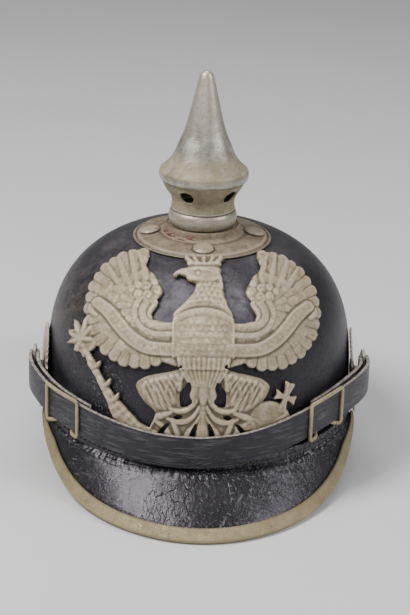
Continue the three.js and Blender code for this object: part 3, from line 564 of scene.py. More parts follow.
def fibrous(name, texture, values, dark, light, rough, ior, relief=0.0):
    """A fibrous stuff whose colour, roughness and height all follow one texture."""
    material, tree, shader = new_material(name, IOR=ior)
    level = put(tree, texture, {"Vector": object_place(tree), **values}).outputs["Fac"]
    dress(tree, shader, Base_Color=ramp(tree, level, [dark, light]),
          Roughness=span(tree, level, 0, 1, *rough))
    if relief:
        bump(tree, shader, level, relief, 0.6)
    return material


thread = fibrous("waxed_thread", "TexWave", {"Scale": 900.0, "Distortion": 1.0},
                 (0.2, (0.035, 0.032, 0.033)), (0.8, (0.075, 0.07, 0.07)), (0.55, 0.75), 1.45,
                 0.0002)
add_piece("visor_leather", *brim_mesh(PEAK, TRIM["nose"] + BRIM["gap"], True),
          [brim_leather("visor_leather", 0.06, 420.0, 0.042)], "helmet", "front_visor")
stitch_row("visor_stitches", PEAK, "helmet", thread, -0.42, 4.2, -66, 66)

# ---- Visor trim -----------------------------------------------------------------------------
# A strip of thin painted steel folded over the visor's edge from end to end, wide over the
# front and tapered where the visor runs out. The paint is buff grey, rubbed along the fold,
# where it also carries a painted highlight, with painted shade in the crease at its edges.


def worn_paint_group():
    """Matte field paint: mottled tone, rubbed bright patches, specks, and caught dust."""
    group, given, out = new_effect("field_paint_wear", {
        "Mottle": 70.0, "Rub": 0.5, "Speckle": 900.0}, ["Tone", "Rubbed", "Speckle", "Dust"])
    where = object_place(group)
    low = math_node(group, "SUBTRACT", 1.0, given["Rub"])
    rubbed = span(group, noise(group, where, 130.0, 6.0, 0.7), low,
                  math_node(group, "ADD", low, 0.14))
    feed(group, out, {
        "Tone": noise(group, where, given["Mottle"], 6.0, 0.6), "Rubbed": rubbed,
        "Speckle": span(group, noise(group, where, given["Speckle"]), 0.6, 0.72),
        "Dust": span(group, noise(group, where, 240.0, 7.0, 0.75), 0.42, 0.66)})
    return group


field_wear = worn_paint_group()


def worn_steel(tree, mottle, rub, speckle):
    return effect(tree, field_wear, {"Mottle": mottle, "Rub": rub, "Speckle": speckle})


def crest_of(tree):
    return put(tree, "Attribute", attribute_name="crest").outputs["Fac"]


def shaded(colour, *shares):
    """A colour darkened by one share for all its channels or by one for each."""
    return tuple(c * share for c, share in zip(colour, shares * 3))


def field_paint(name, dark, light, rubbed, rub, rough=0.5, metal=0.35, relief=False):
    """Painted steel; with relief the piece's own "crest" attribute gives its high places rubbed
    paint and a painted highlight, and its low places painted shade.
    """
    material, tree, shader = new_material(name, IOR=1.5)
    wear = worn_steel(tree, 70.0, rub, 900.0)
    colour = ramp(tree, wear["Tone"], [(0.32, dark), (0.68, light)])
    colour = mix(tree, wear["Dust"], colour, shaded(rubbed, 0.9, 0.86, 0.92), 0.5)
    colour = mix(tree, wear["Rubbed"], colour, rubbed, 0.5)
    colour = mix(tree, wear["Speckle"], colour, shaded(dark, 0.45), 0.35)
    shine = times(tree, wear["Rubbed"], metal)
    if relief:
        crest = crest_of(tree)
        # Painted light from the relief: high crest values lighten towards the rubbed colour,
        # partly rubbed paint and partly a painted highlight; low ones darken as painted shade.
        wear_and_highlight = times(tree, span(tree, crest, 0.55, 1.0), 0.6)
        colour = mix(tree, span(tree, crest, 0.47, 0.0, 0.0, 0.8), colour, shaded(dark, 0.36))
        colour = mix(tree, wear_and_highlight, colour, rubbed)
        shine = larger(tree, shine, times(tree, wear_and_highlight, metal))
    dress(tree, shader, Base_Color=colour, Metallic=shine,
          Roughness=sum_of(tree, (wear["Tone"], 0.25), (wear["Rubbed"], -0.12),
                           base=rough - 0.1))
    bump(tree, shader, sum_of(tree, (wear["Tone"], 0.8), (wear["Speckle"], -0.35),
                              (wear["Dust"], 0.3), (wear["Rubbed"], 0.15)),
         0.0008 if relief else 0.0005, 0.75)
    return material


def add_worn_and_shaded(name, points, faces, crest, material, node):
    """Adds a painted piece whose "crest" attribute says which places stand proud; its paint
    gives them rubbed paint and a painted highlight, and its low places painted shade.
    """
    piece = add_piece(name, points, faces, [material], "helmet", node)
    piece.data.attributes.new("crest", "FLOAT", "POINT").data.foreach_set("value", crest)
    return piece


def trim_mesh(steps=220):
    """The folded strip, proud along its nose, with crest values for rubbed paint and a painted
    highlight on the nose, painted shade in the crease at its edges, and darker towards its ends.
    """
    sides = brim_sides(PEAK, steps)
    width = brim_width(PEAK, sides)
    flange = trim_flange(width)
    inside = BRIM["leather"] / 2 + BRIM["gap"]
    outside = inside + TRIM["sheet"]
    full = np.ones_like(flange)
    nose = [(1.1 * (1 - math.sin(t)), outside * math.cos(t))
            for t in np.linspace(0, math.pi, 11)]
    rows = [(flange, inside + 0.25), (flange - 0.35, outside)]
    rows += [(flange * s, outside) for s in (0.8, 0.6, 0.4, 0.25)]
    rows += [(full * inset, lift) for inset, lift in nose]
    rows += [(flange * s, -outside) for s in (0.25, 0.6)]
    rows += [(flange, -outside), (flange, -inside), (full * TRIM["nose"], -inside),
             (full * TRIM["nose"], inside), (flange, inside)]
    sections = [brim_surface(PEAK, sides, 1 - inset / width, full * lift)
                for inset, lift in rows]
    points, faces = loft(np.stack(sections, 1))
    share = np.stack([np.broadcast_to(inset / flange, full.shape) for inset, _ in rows], 1)
    share = share.reshape(-1)
    # Crest values: rubbed paint and a painted highlight on the nose, painted shade in the crease
    # at the flange's edge, and darker towards the ends.
    crest = 0.5 + 0.42 * groove(share, 0.13) - 0.5 * groove(share - 1, 0.06)
    crest -= 0.3 * np.repeat((sides / sides[-1]) ** 2, len(rows))
    return points, faces, np.clip(crest, 0, 1)


trim_paint = field_paint("trim_paint", (0.195, 0.155, 0.072), (0.295, 0.238, 0.118),
                         (0.41, 0.345, 0.20), rub=0.48, rough=0.46, relief=True)
add_worn_and_shaded("visor_trim", *trim_mesh(), trim_paint, "front_visor_trim")

# ---- Neck guard -----------------------------------------------------------------------------
# The leather flap at the back, longer at its ends than the visor and without a metal edge. It
# is sewn to the skull like the visor, and the helmet rests on its lowest stretch.
NECK = dict(half_width=101.0, half_length=146.0, bend=27.0, end=80.0, sweep=7.0, flat=36.0,
            rise_turn=50.0, rise=27.0, rise_power=2.4, bulge=2.2, edge_lift=0.5, back=1)

add_piece("neck_leather", *brim_mesh(NECK, 0.0, False),
          [brim_leather("neck_leather", 0.2, 380.0, 0.05)], "helmet", "neck_guard")
stitch_row("neck_stitches", NECK, "helmet", thread, -0.5, 4.2, -72, 72)

# ---- Rear spine -----------------------------------------------------------------------------
# A narrow strip of painted steel from the base plate down the back of the skull and over the
# neck guard. It stiffens the back, and its outer face is slightly crowned.
SPINE = dict(width=14.0, sheet=1.1)


def spine_mesh():
    """The strip laid at a small stand over the dome, the bend and the guard, and its crest."""
    stand = 0.6 + SPINE["sheet"] / 2
    climbs = np.radians(np.concatenate([np.linspace(67, 9, 40), [6.5, 4.5, 3, 2, 1.2]]))
    back = dome_points(math.pi, climbs)
    line = list(back + dome_normals(back) * stand)
    line.insert(0, np.array([0, 42.9, SKULL["seat"] + stand]))
    runs = np.linspace(-0.85, 0.94, 22)
    over = BRIM["leather"] / 2 + stand
    line += list(brim_surface(NECK, np.zeros(22), runs, np.full(22, over)))
    line = np.array(line)
    for _ in range(3):
        line[1:-1] = (line[:-2] + 2 * line[1:-1] + line[2:]) / 4
    normal = np.cross([1, 0, 0], unit(np.gradient(line, axis=0)))
    profile = [(-1, -1), (1, -1), (1, 0.1), (0.96, 0.45), (0.8, 0.7), (0.4, 0.93), (0, 1),
               (-0.4, 0.93), (-0.8, 0.7), (-0.96, 0.45), (-1, 0.1)]
    sections = [[p + np.array([x * SPINE["width"] / 2, 0, 0]) + n * h * SPINE["sheet"] / 2
                 for x, h in profile] for p, n in zip(line, normal)]
    # Crest values: higher on the rounded edges of the face, which the paint lightens as rubbed
    # paint and a painted highlight.
    crest = [0.72 if abs(x) > 0.9 and h > 0 else 0.5 for x, h in profile]
    return (*loft(np.array(sections)), np.tile(crest, len(line)))


add_worn_and_shaded("rear_spine_strip", *spine_mesh(), trim_paint, "rear_spine")

# ---- Base plate and studs -------------------------------------------------------------------
# A round plate of pressed steel on the crown: a flat rim, a shallow cone and an upright collar
# that the spike plugs into. Four studs with flat domed heads hold it through the leather.
PLATE = dict(radius=42.3, rim=133.6, cone_radius=39.0, cone=134.6, foot_radius=24.8, foot=137.0,
             floor=141.3, hole=14.0)
STUD = dict(radius=6.3, rise=1.7, from_axis=32.0)


def base_plate_mesh():
    """Points, faces and crest values: a painted highlight on the ridges, painted shade in the
    creases, in a ring round each stud and under the rim.
    """
    p = PLATE
    under = SKULL["seat"] + 0.3
    profile = [
        (p["radius"] - 0.4, under), (p["radius"], under + 0.5), (p["radius"], p["rim"] - 0.4),
        (p["radius"] - 0.5, p["rim"]), (p["radius"] - 1.5, p["rim"]),
        (p["cone_radius"] + 1.2, p["rim"] - 0.6), (p["cone_radius"] + 0.3, p["rim"] + 0.7),
        (p["cone_radius"] - 0.8, p["cone"] + 0.25)]
    profile += [(r, p["cone"] + (p["foot"] - p["cone"]) * (p["cone_radius"] - r)
                 / (p["cone_radius"] - p["foot_radius"]))
                for r in np.linspace(p["cone_radius"] - 2, p["foot_radius"] + 0.8, 26)]
    profile += [
        (p["foot_radius"], p["foot"] + 0.15), (p["foot_radius"] - 1.4, p["foot"] + 1.5),
        (p["foot_radius"] - 1.9, p["floor"] + 0.5), (p["foot_radius"] - 2.2, p["floor"] + 0.7),
        (p["foot_radius"] - 3.3, p["floor"] + 0.7), (p["foot_radius"] - 3.6, p["floor"]),
        (p["hole"], p["floor"]), (p["hole"], p["floor"] - 1),
        (p["foot_radius"] - 3.2, p["floor"] - 1.2), (p["foot_radius"] - 2.6, p["foot"] - 0.9),
        (p["cone_radius"], under)]
    points, faces = lathe(rounded(profile, 0.35), 180)
    r, z = np.hypot(points[:, 0], points[:, 1]), points[:, 2]
    stud_ring = np.abs(np.hypot(np.abs(points[:, :2]).max(1) - STUD["from_axis"],
                                np.abs(points[:, :2]).min(1)) - STUD["radius"] - 0.5)
    # Crest values: painted highlight on the ridge at the cone's edge and at the foot of the
    # collar; painted shade in the creases beside them, in a ring round each stud and on the rim's
    # outer wall.
    crest = 0.5 + 0.5 * groove(r - p["cone_radius"] + 0.2, 0.8)
    crest += 0.32 * groove(r - p["foot_radius"] - 0.2, 0.7) - 0.34 * groove(r - 26.8, 1.1)
    crest -= 0.5 * groove(r - p["cone_radius"] - 1.3, 0.5)
    crest -= np.where(z > p["cone"], 0.5 * groove(stud_ring, 0.5), 0)
    crest -= np.where(z < p["rim"] - 0.5, 0.5 * (r > p["cone_radius"]), 0)
    return points, faces, np.clip(crest, 0, 1)


def rotated(points, angle, first, second):
    """The points turned by an angle in radians, from the first axis towards the second."""
    c, s = math.cos(angle), math.sin(angle)
    out = points.copy()
    out[:, first] = points[:, first] * c - points[:, second] * s
    out[:, second] = points[:, first] * s + points[:, second] * c
    return out


def stud_mesh(side):
    """A flat domed head bedded on the cone of the plate, at its own side of the helmet."""
    fall, run = PLATE["foot"] - PLATE["cone"], PLATE["cone_radius"] - PLATE["foot_radius"]
    seat = PLATE["cone"] + (PLATE["cone_radius"] - STUD["from_axis"]) / run * fall + 0.25
    r, h = STUD["radius"], STUD["rise"]
    profile = [(0, 0), (r - 0.3, 0), (r, 0.25), (r - 0.1, 0.6), (r * 0.9, h * 0.66),
               (r * 0.72, h * 0.88), (r * 0.45, h * 0.98), (0.0, h)]
    points, faces = lathe(profile, 48)
    tilted = rotated(points, math.atan2(fall, run), 1, 2) + (0, -STUD["from_axis"], seat)
    return rotated(tilted, math.radians(side), 0, 1), faces


plate_paint = field_paint("base_plate_paint", (0.105, 0.080, 0.048), (0.20, 0.158, 0.10),
                          (0.45, 0.37, 0.275), rub=0.49, rough=0.44, relief=True)
stud_paint = field_paint("stud_paint", (0.18, 0.145, 0.09), (0.29, 0.24, 0.155),
                         (0.56, 0.49, 0.38), rub=0.56, rough=0.42)
add_worn_and_shaded("base_plate_pressing", *base_plate_mesh(), plate_paint, "base_plate")
for place, side in (("front", 0), ("right", 90), ("rear", 180), ("left", 270)):
    add_piece("stud_head_" + place, *stud_mesh(side), [stud_paint], "helmet", "stud_" + place)


def wool_threads():
    """Short curled fibres caught at the foot of the collar, at the front and on the left."""
    seeded = np.random.default_rng(11)
    ring = np.linspace(0, 2 * math.pi, 5, endpoint=False)
    ring = np.stack([np.cos(ring), 0.3 * np.sin(ring), np.sin(ring)], -1)
    fibres = []
    for middle, count in ((-58, 7), (-22, 4)):
        for _ in range(count):
            turn = math.radians(middle + seeded.uniform(-14, 14))
            way, climb = seeded.uniform(0, 2 * math.pi), seeded.uniform(-0.3, 0.9)
            r, z, bend = seeded.uniform(24.2, 26.4), seeded.uniform(138.0, 140.2), 0.0
            sections = []
            for step in range(13):
                p = np.array([r * math.sin(turn), -r * math.cos(turn), z])
                sections.append(p + ring * (0.19 * (1 - abs(step / 6 - 1) ** 3) + 0.03))
                bend += seeded.uniform(-0.45, 0.45)
                way += bend * 0.5
                turn += 0.024 * math.cos(way)
                r += 0.22 * math.sin(way)
                z = max(z + 0.35 * math.sin(way + climb), 137.7)
            fibres.append(loft(sections))
    return joined(fibres)


red_wool = fibrous("red_wool", "TexNoise", {"Scale": 700.0, "Detail": 3.0},
                   (0.35, (0.13, 0.012, 0.02)), (0.65, (0.34, 0.04, 0.05)), (0.7, 0.95), 1.4)
add_piece("wool_fibres", *wool_threads(), [red_wool], "helmet")

# ---- Spike ----------------------------------------------------------------------------------
# One hollow steel pressing that plugs into the collar with part of a turn: a fluted spike, a
# sharp lip, a waisted neck with five vent holes pressed out round their edges, and a ring bead.
SPIKE = dict(tip=237.0, sheet=1.2, vents=5, vent_height=163.3, vent_radius=4.3,
             vent_turn=-28, vent_lean=30, vent_stand=21.9, vent_rim=0.7)
SPIKE_LINE = [(18.9, 141.7), (19.9, 143.0), (20.6, 145.2), (20.75, 147.3), (20.45, 149.3),
              (19.8, 150.7), (19.2, 151.4), (19.5, 152.2), (19.2, 153.4), (19.1, 156.4),
              (19.9, 160.0), (22.2, 163.8), (24.0, 166.8), (25.7, 169.8), (26.8, 171.0),
              (27.2, 172.6), (27.15, 174.3), (26.6, 176.0), (25.6, 176.9), (22.3, 180.0),
              (20.0, 183.0), (17.9, 186.8), (16.1, 191.5), (14.2, 195.7), (12.7, 199.7),
              (11.5, 203.8), (10.4, 208.0), (8.4, 216.2), (6.5, 224.5), (5.3, 229.4),
              (4.4, 232.9), (3.3, 235.3), (1.7, 236.6)]           # radius, height


def curve_through(points, per_span):
    """Catmull-Rom points from the second of the points up to the last but one."""
    out = []
    for a, b, c, d in zip(points, points[1:], points[2:], points[3:]):
        for t in np.linspace(0, 1, per_span, endpoint=False):
            out.append(0.5 * (2 * b + (c - a) * t + (2 * a - 5 * b + 4 * c - d) * t * t
                              + (3 * b - a - 3 * c + d) * t ** 3))
    return out


def smooth_line(rows, per_span):
    """A smooth open line through the rows, end points kept."""
    rows = np.asarray(rows, float)
    padded = np.concatenate([[2 * rows[0] - rows[1]], rows, [2 * rows[-1] - rows[-2]]])
    return np.array(curve_through(padded, per_span) + [rows[-1]])


def spike_sheet_mesh(steps=190):
    """The outer face of the pressing as a grid, its holes cut along the cells and rounded."""
    line = smooth_line(SPIKE_LINE, 5)
    turns = np.linspace(0, 2 * math.pi, steps, endpoint=False)
    radius = np.repeat(line[:, :1], steps, 1)
    height = np.repeat(line[:, 1:], steps, 1)
    turn = np.repeat(turns[None], len(line), 0)
    keep = np.ones((len(line), steps), bool)
    hole, lean = SPIKE["vent_radius"], math.cos(math.radians(SPIKE["vent_lean"]))
    for k in range(SPIKE["vents"]):
        middle = math.radians(SPIKE["vent_turn"] + 360 / SPIKE["vents"] * k)
        across = np.angle(np.exp(1j * (turn - middle))) * SPIKE["vent_stand"]
        up = (height - SPIKE["vent_height"]) / lean
        near = np.where((height < 171) & (height > 154), np.hypot(across, up), 99)
        keep &= near > hole - 0.4
        edge = np.abs(near - hole) < 0.4
        pull = np.where(edge, hole / np.maximum(near, 0.1), 1)
        turn = np.where(edge, middle + across * pull / SPIKE["vent_stand"], turn)
        height = np.where(edge, SPIKE["vent_height"] + up * pull * lean, height)
        rim = SPIKE["vent_rim"]
        radius = radius + np.where(near < 90, rim * groove(near - hole - rim, rim), 0)
    points = np.stack([radius * np.sin(turn), -radius * np.cos(turn), height], -1)
    kept = keep.reshape(-1)
    faces = [face for face in quads(len(line), steps) if all(kept[i] for i in face)]
    points = np.concatenate([points.reshape(-1, 3), [[0, 0, SPIKE["tip"]]]])
    last, tip = (len(line) - 1) * steps, len(line) * steps
    faces += [(last + k, last + (k + 1) % steps, tip) for k in range(steps)]
    return only_used(points, faces)


def spike_paint():
    """Silvery grey paint with a green cast on the cone, lip and bead; buff on the neck, a painted
    highlight on the small ridge above the bead and painted shade in the groove below it.
    The zones are bounded by heights above the table in metres."""
    material, tree, shader = new_material("spike_paint", IOR=1.5)
    where = object_place(tree)
    height = put(tree, "SeparateXYZ", {"Vector": where}).outputs["Z"]
    wear = worn_steel(tree, 85.0, 0.52, 1100.0)
    tone = wear["Tone"]
    flow = noise(tree, stretched(tree, where, (1.0, 1.0, 0.16)), 260.0, 5.0)
    turned = noise(tree, stretched(tree, where, (1.0, 1.0, 14.0)), 90.0, 6.0, 0.7)
    ragged = math_node(tree, "ADD", height, times(tree, tone, 0.0012))

    def zone(level, start, full, ending, end):
        return times(tree, span(tree, level, start, full), span(tree, level, end, ending))

    flare = zone(ragged, 0.1748, 0.1758, 0.182, 0.192)
    neck = zone(ragged, 0.1520, 0.1532, 0.1706, 0.1716)
    lip = zone(height, 0.1706, 0.1716, 0.1740, 0.1752)
    # Painted highlight on the small ridge above the bead (line), and painted shade in the groove
    # between that ridge and the bead.
    line = zone(height, 0.1517, 0.1520, 0.1524, 0.1528)
    groove_shade = zone(height, 0.1508, 0.1513, 0.1516, 0.1519)
    matte = larger(tree, neck, times(tree, flare, 0.9))
    rubbed = times(tree, wear["Rubbed"], span(tree, matte, 0.0, 1.0, 0.4, 0.14))
    # Lighter places: worn paint on the lip and in rubbed patches, and the painted highlight on the
    # ridge; darker ones are specks and the painted shade in the groove.
    wear_and_highlight = larger(tree, times(tree, lip, 0.2), larger(tree, times(tree, line, 0.4), rubbed))
    speckled = times(tree, wear["Speckle"], span(tree, flow, 0.35, 0.65, 0.3, 0.9))
    specks_and_groove_shade = larger(tree, speckled, times(tree, groove_shade, 0.85))
    metal = span(tree, matte, 0.0, 1.0, 0.72, 0.12)
    buff = ramp(tree, tone, [(0.3, (0.20, 0.165, 0.10)), (0.7, (0.33, 0.28, 0.18))])
    colour = ramp(tree, tone, [(0.3, (0.21, 0.195, 0.155)), (0.7, (0.42, 0.40, 0.34))])
    for factor, over, share in (
            (span(tree, flow, 0.45, 0.7), (0.57, 0.55, 0.505), 0.5),
            (span(tree, turned, 0.52, 0.68), (0.17, 0.155, 0.12), 0.45),
            (span(tree, height, 0.190, 0.222), (0.55, 0.50, 0.40), 0.8),
            (span(tree, height, 0.1516, 0.1508, 0.0, 0.7), (0.47, 0.43, 0.33), 1.0),
            (matte, buff, 1.0), (wear_and_highlight, (0.62, 0.61, 0.56), 1.0),
            (specks_and_groove_shade, (0.06, 0.055, 0.042), 1.0)):
        colour = mix(tree, factor, colour, over, share)
    dress(tree, shader, Base_Color=colour, Metallic=metal,
          Roughness=sum_of(tree, (tone, 0.2), (metal, -0.32), (flow, 0.14), (lip, -0.1),
                           base=0.5))
    bump(tree, shader, sum_of(tree, (tone, 0.6), (wear["Speckle"], -0.45), (flow, 0.35),
                              (turned, 0.4)), 0.0004, 0.6)
    return material


def thicken(piece, sheet):
    """Gives a pressed face the thickness of its sheet, inwards."""
    wall = piece.modifiers.new("sheet", "SOLIDIFY")
    wall.thickness = sheet * MM
    wall.offset = -1


spike = add_piece("spike_pressing", *spike_sheet_mesh(), [spike_paint()], "spike", "spike")
thicken(spike, SPIKE["sheet"])

# ---- Eagle plate ----------------------------------------------------------------------------
# A crowned eagle pressed from one steel sheet, its lower half pierced, wired on through the
# front of the skull. It is drawn flat, u to the right and v up in millimetres on a plane that
# leans back, as a field of relief heights which is then wrapped over the dome.
EAGLE = dict(pitch=0.5, lean=23.0, stand=1.95, sheet=0.9, soft=0.27, shade=1.2, roll=0.55,
             roll_width=1.1, foot=29.6, snap=0.62)
WING = dict(u=36.0, v=76.0, reach_u=33.2, reach_v=35.6, start=98.0, sweep=212.0, feathers=18)
U, V = np.meshgrid(np.arange(-80, 80.1, EAGLE["pitch"]), np.arange(-3, 112.1, EAGLE["pitch"]))


def wrapped_grid():
    """Points and normals of the dome under every place of the flat drawing."""
    lean = math.radians(EAGLE["lean"])
    rise = np.array([0, math.sin(lean), math.cos(lean)])
    away = np.array([0, -math.cos(lean), math.sin(lean)])
    flat = U[..., None] * np.array([1, 0, 0]) + V[..., None] * rise
    near, far = np.full(U.shape, 20.0), np.full(U.shape, 190.0)
    depth = SKULL["crown"] - SKULL["rim"]
    for _ in range(40):
        middle = (near + far) / 2
        p = flat + middle[..., None] * away
        share = (p[..., 0] / SKULL["half_width"]) ** 2 + (p[..., 1] / half_length(p[..., 1])) ** 2
        rise_share = np.maximum(p[..., 2] - SKULL["rim"], 0) / depth
        outside = share ** (SKULL["width_power"] / 2) + rise_share ** SKULL["height_power"] > 1
        near, far = np.where(outside, near, middle), np.where(outside, middle, far)
    points = flat + near[..., None] * away
    return points, dome_normals(points)


def polygon(points):
    """Distance of every place of the drawing to a closed outline, negative inside."""
    points = np.asarray(points, float)
    nearest = np.full(U.shape, 1e9)
    inside = np.zeros(U.shape, bool)
    for (au, av), (bu, bv) in zip(points, np.roll(points, -1, 0)):
        du, dv = bu - au, bv - av
        t = np.clip(((U - au) * du + (V - av) * dv) / max(du * du + dv * dv, 1e-9), 0, 1)
        nearest = np.minimum(nearest, (U - au - t * du) ** 2 + (V - av - t * dv) ** 2)
        crosses = (av > V) != (bv > V)
        inside ^= crosses & (U < au + (V - av) * du / (dv if dv else 1e-9))
    return np.where(inside, -1, 1) * np.sqrt(nearest)


def outline(points):
    """Distance to a smooth closed outline through a few points."""
    points = np.asarray(points, float)
    return polygon(curve_through(np.concatenate([points[-1:], points, points[:2]]), 6))


def band(rows):
    """A band along a smooth middle line of (u, v, width) rows: its distance, negative inside,
    the place across it from -1 to 1, and the distance run along it."""
    line = smooth_line(rows, 6)
    best = np.full(U.shape, 1e9)
    across = np.zeros(U.shape)
    along = np.zeros(U.shape)
    run = 0.0
    for a, b in zip(line[:-1], line[1:]):
        du, dv = b[0] - a[0], b[1] - a[1]
        length = max(math.hypot(du, dv), 1e-6)
        t = np.clip(((U - a[0]) * du + (V - a[1]) * dv) / length ** 2, 0, 1)
        half = (a[2] + (b[2] - a[2]) * t) / 2
        apart = np.hypot(U - a[0] - t * du, V - a[1] - t * dv)
        edge = apart - half
        nearer = edge < best
        best = np.where(nearer, edge, best)
        side = np.sign((U - a[0]) * dv - (V - a[1]) * du)
        across = np.where(nearer, side * apart / half, across)
        along = np.where(nearer, run + t * length, along)
        run += length
    return best, across, along


def mirrored(hand, rows):
    """The rows as they are for hand 1, and on the other side of the middle for hand -1."""
    return [(hand * row[0], *row[1:]) for row in rows]


def step_up(distance, soft):
    """0 outside an edge to 1 inside it, over a soft width."""
    t = np.clip(-distance / soft, 0, 1)
    return t * t * (3 - 2 * t)


relief = np.zeros(U.shape)
edge = np.full(U.shape, 1e9)


def lay(distance, height, soft=1.0, cuts_sheet=True):
    """Lays a form over the relief; it also adds to the outline of the sheet."""
    global relief, edge
    share = step_up(distance, soft)
    relief = np.where(distance < 0, np.maximum(relief, height * share + relief * (1 - share)),
                      relief)
    if cuts_sheet:
        edge = np.minimum(edge, distance)


def rod(rows, top, fall, soft=0.7, cuts_sheet=False):
    """Lays a round-backed form along a smooth middle line of (u, v, width) rows."""
    form, place, _ = band(rows)
    lay(form, top - fall * place ** 2, soft, cuts_sheet)


def plate(outer, height, soft=1.0, cuts_sheet=True):
    """Lays a form of one height inside an outline."""
    lay(outer, np.full(U.shape, height), soft, cuts_sheet)


def wing(hand):
    """Fan of flight feathers, three rows of coverts, bands round the shoulder, and curls."""
    reach = np.hypot((hand * U - WING["u"]) / WING["reach_u"], (V - WING["v"]) / WING["reach_v"])
    angle = np.degrees(np.arctan2((V - WING["v"]) / WING["reach_v"],
                                  (hand * U - WING["u"]) / WING["reach_u"]))
    turned = (WING["start"] - angle) % 360
    inner = [(14, 42), (10, 50), (12, 67.5), (22, 67.3), (28.5, 68.6), (29.6, 71.5), (27, 75.5),
             (25.8, 77.6), (26.6, 79.4), (24.6, 81.8), (23.2, 84.6), (24.2, 87.6), (26, 90),
             (27.4, 93), (30.5, 96.2), (33.2, 100), (31.5, 106)]
    tips = []
    for turn in np.linspace(0, WING["sweep"], 217):
        feather = turn / WING["sweep"] * WING["feathers"]
        s = feather % 1
        far = 1 - 0.045 * abs(2 * s - 1) ** 2.2 - 0.012 * (feather // 1 % 2)
        a = math.radians(WING["start"] - turn)
        tips.append((WING["u"] + WING["reach_u"] * far * math.cos(a),
                     WING["v"] + WING["reach_v"] * far * math.sin(a)))
    sheet = polygon(mirrored(hand, tips + inner))
    across = turned / WING["sweep"] * WING["feathers"]
    s = across % 1
    flight = 0.1 + 0.42 * np.clip((reach - 0.45) / 0.55, 0, 1) + 0.14 * (1 - (2 * s - 1) ** 2)
    flight += 0.075 * np.cos(2 * np.pi * (3 * s + 4 * reach)) - 0.3 * groove(
        np.minimum(s, 1 - s), 0.075)
    lay(sheet, flight, 0.9)
    for tip, count, lift, shift in ((0.8, 15, 0.22, 0.4), (0.6, 13, 0.38, 0.1),
                                    (0.42, 10, 0.55, 0.5)):
        n = turned / 360 * count * 1.5 + shift
        f = n % 1
        rim = tip - 0.085 * np.abs(2 * f - 1) ** 1.7 - 0.03 * (n // 1 % 2)
        covert = lift + 0.26 * np.clip((reach - tip + 0.25) / 0.25, 0, 1)
        covert += 0.12 * (1 - (2 * f - 1) ** 2) - 0.22 * groove(np.minimum(f, 1 - f), 0.08)
        covert += 0.07 * np.cos(2 * np.pi * (3 * f + 5 * reach))
        lay(np.maximum((reach - rim) * 34, sheet + 0.4), covert, 0.7, False)
    notch = [(16, 69.6), (22, 69.3), (27, 69.6), (29.4, 71.2), (29.8, 73), (28.2, 75.4),
             (26.4, 77.6)]
    shoulder, _, along = band([(hand * u, v, 0.2) for u, v in notch])
    inner_band = shoulder < 12.5
    rings = np.where(inner_band, 1.05 + 0.14 * np.cos(shoulder * 1.3), 0)
    for ring in (2.4, 7.2, 10.9):
        rings = rings - 0.42 * groove(shoulder - ring, 0.4) * inner_band
        rings = rings + 0.2 * groove(shoulder - ring - 0.9, 0.4) * inner_band
    rings = rings + 0.05 * np.cos(along * 2.1 + shoulder) * inner_band
    inside_arm = np.maximum(np.maximum(shoulder - 11.8, sheet), -(hand * U - 15.5))
    upper = np.maximum(inside_arm, V - 84 + 0.25 * np.abs(hand * U - 30))
    lay(upper, rings, 1.0, False)
    for u, v, size, bend in ((27.4, 78.8, 3.2, 20), (27, 84.4, 3.4, 60), (31.6, 81.8, 3.6, 10),
                             (32.6, 86.8, 3.2, 50), (37, 82.6, 3.2, -10), (37.6, 87.4, 2.8, 40),
                             (28.4, 89.6, 2.8, 80), (41.4, 85.4, 2.6, 20)):
        apart = np.hypot(hand * U - u, V - v)
        coil = np.degrees(np.arctan2(V - v, hand * U - u)) - bend
        lay(apart - size, 1.5 - 0.5 * (apart / size) ** 2
            + 0.22 * np.cos(np.radians(coil) + apart * 2.4), 0.9, False)
    for start, middle, end in (((30, 90), (29, 97), (34.5, 105)), ((34, 89), (34, 97), (38, 109)),
                               ((38, 89), (40, 97), (43, 109)), ((42, 88), (46, 95), (50, 106)),
                               ((44, 85), (50, 91), (56, 101))):
        quill, place, _ = band(mirrored(hand, [(*start, 3.0), (*middle, 4.0), (*end, 2.6)]))
        lay(quill, 0.95 - 0.35 * place ** 2 - 0.2 * groove(place, 0.1)
            + 0.06 * np.cos(place * 14), 0.7, False)


def ribbon(hand):
    """The ribbon over the wing: a plain incised border and a row of pellets."""
    global relief
    tail, place, _ = band(mirrored(hand, [(58.5, 77.5, 5.4), (62.6, 77, 4.6), (64, 73.6, 3.8),
                                          (61.4, 71.4, 2.6)]))
    lay(tail, 1.2 + 0.3 * groove(np.abs(place) - 0.8, 0.12), 0.7, False)
    rows = [(60.2, 78.0, 6.6), (53, 72, 7.6), (46.5, 64, 7.6), (39, 57, 7.6), (30, 52.6, 7.4),
            (15, 51.8, 7.2)]
    body, place, along = band(mirrored(hand, rows))
    relief = np.where(body > 0, relief * (1 - 0.6 * groove(body - 0.6, 0.5)), relief)
    height = 1.3 + 0.34 * groove(np.abs(place) - 0.84, 0.08) - 0.2 * groove(
        np.abs(place) - 0.68, 0.07)
    pellets = np.hypot((along % 3.4 - 1.7) / 1.0, place * 3.6 / 1.5)
    height = height + 0.24 * step_up((pellets - 1) * 1.2, 0.9) * (along > 3)
    lay(body, height, 0.6, False)


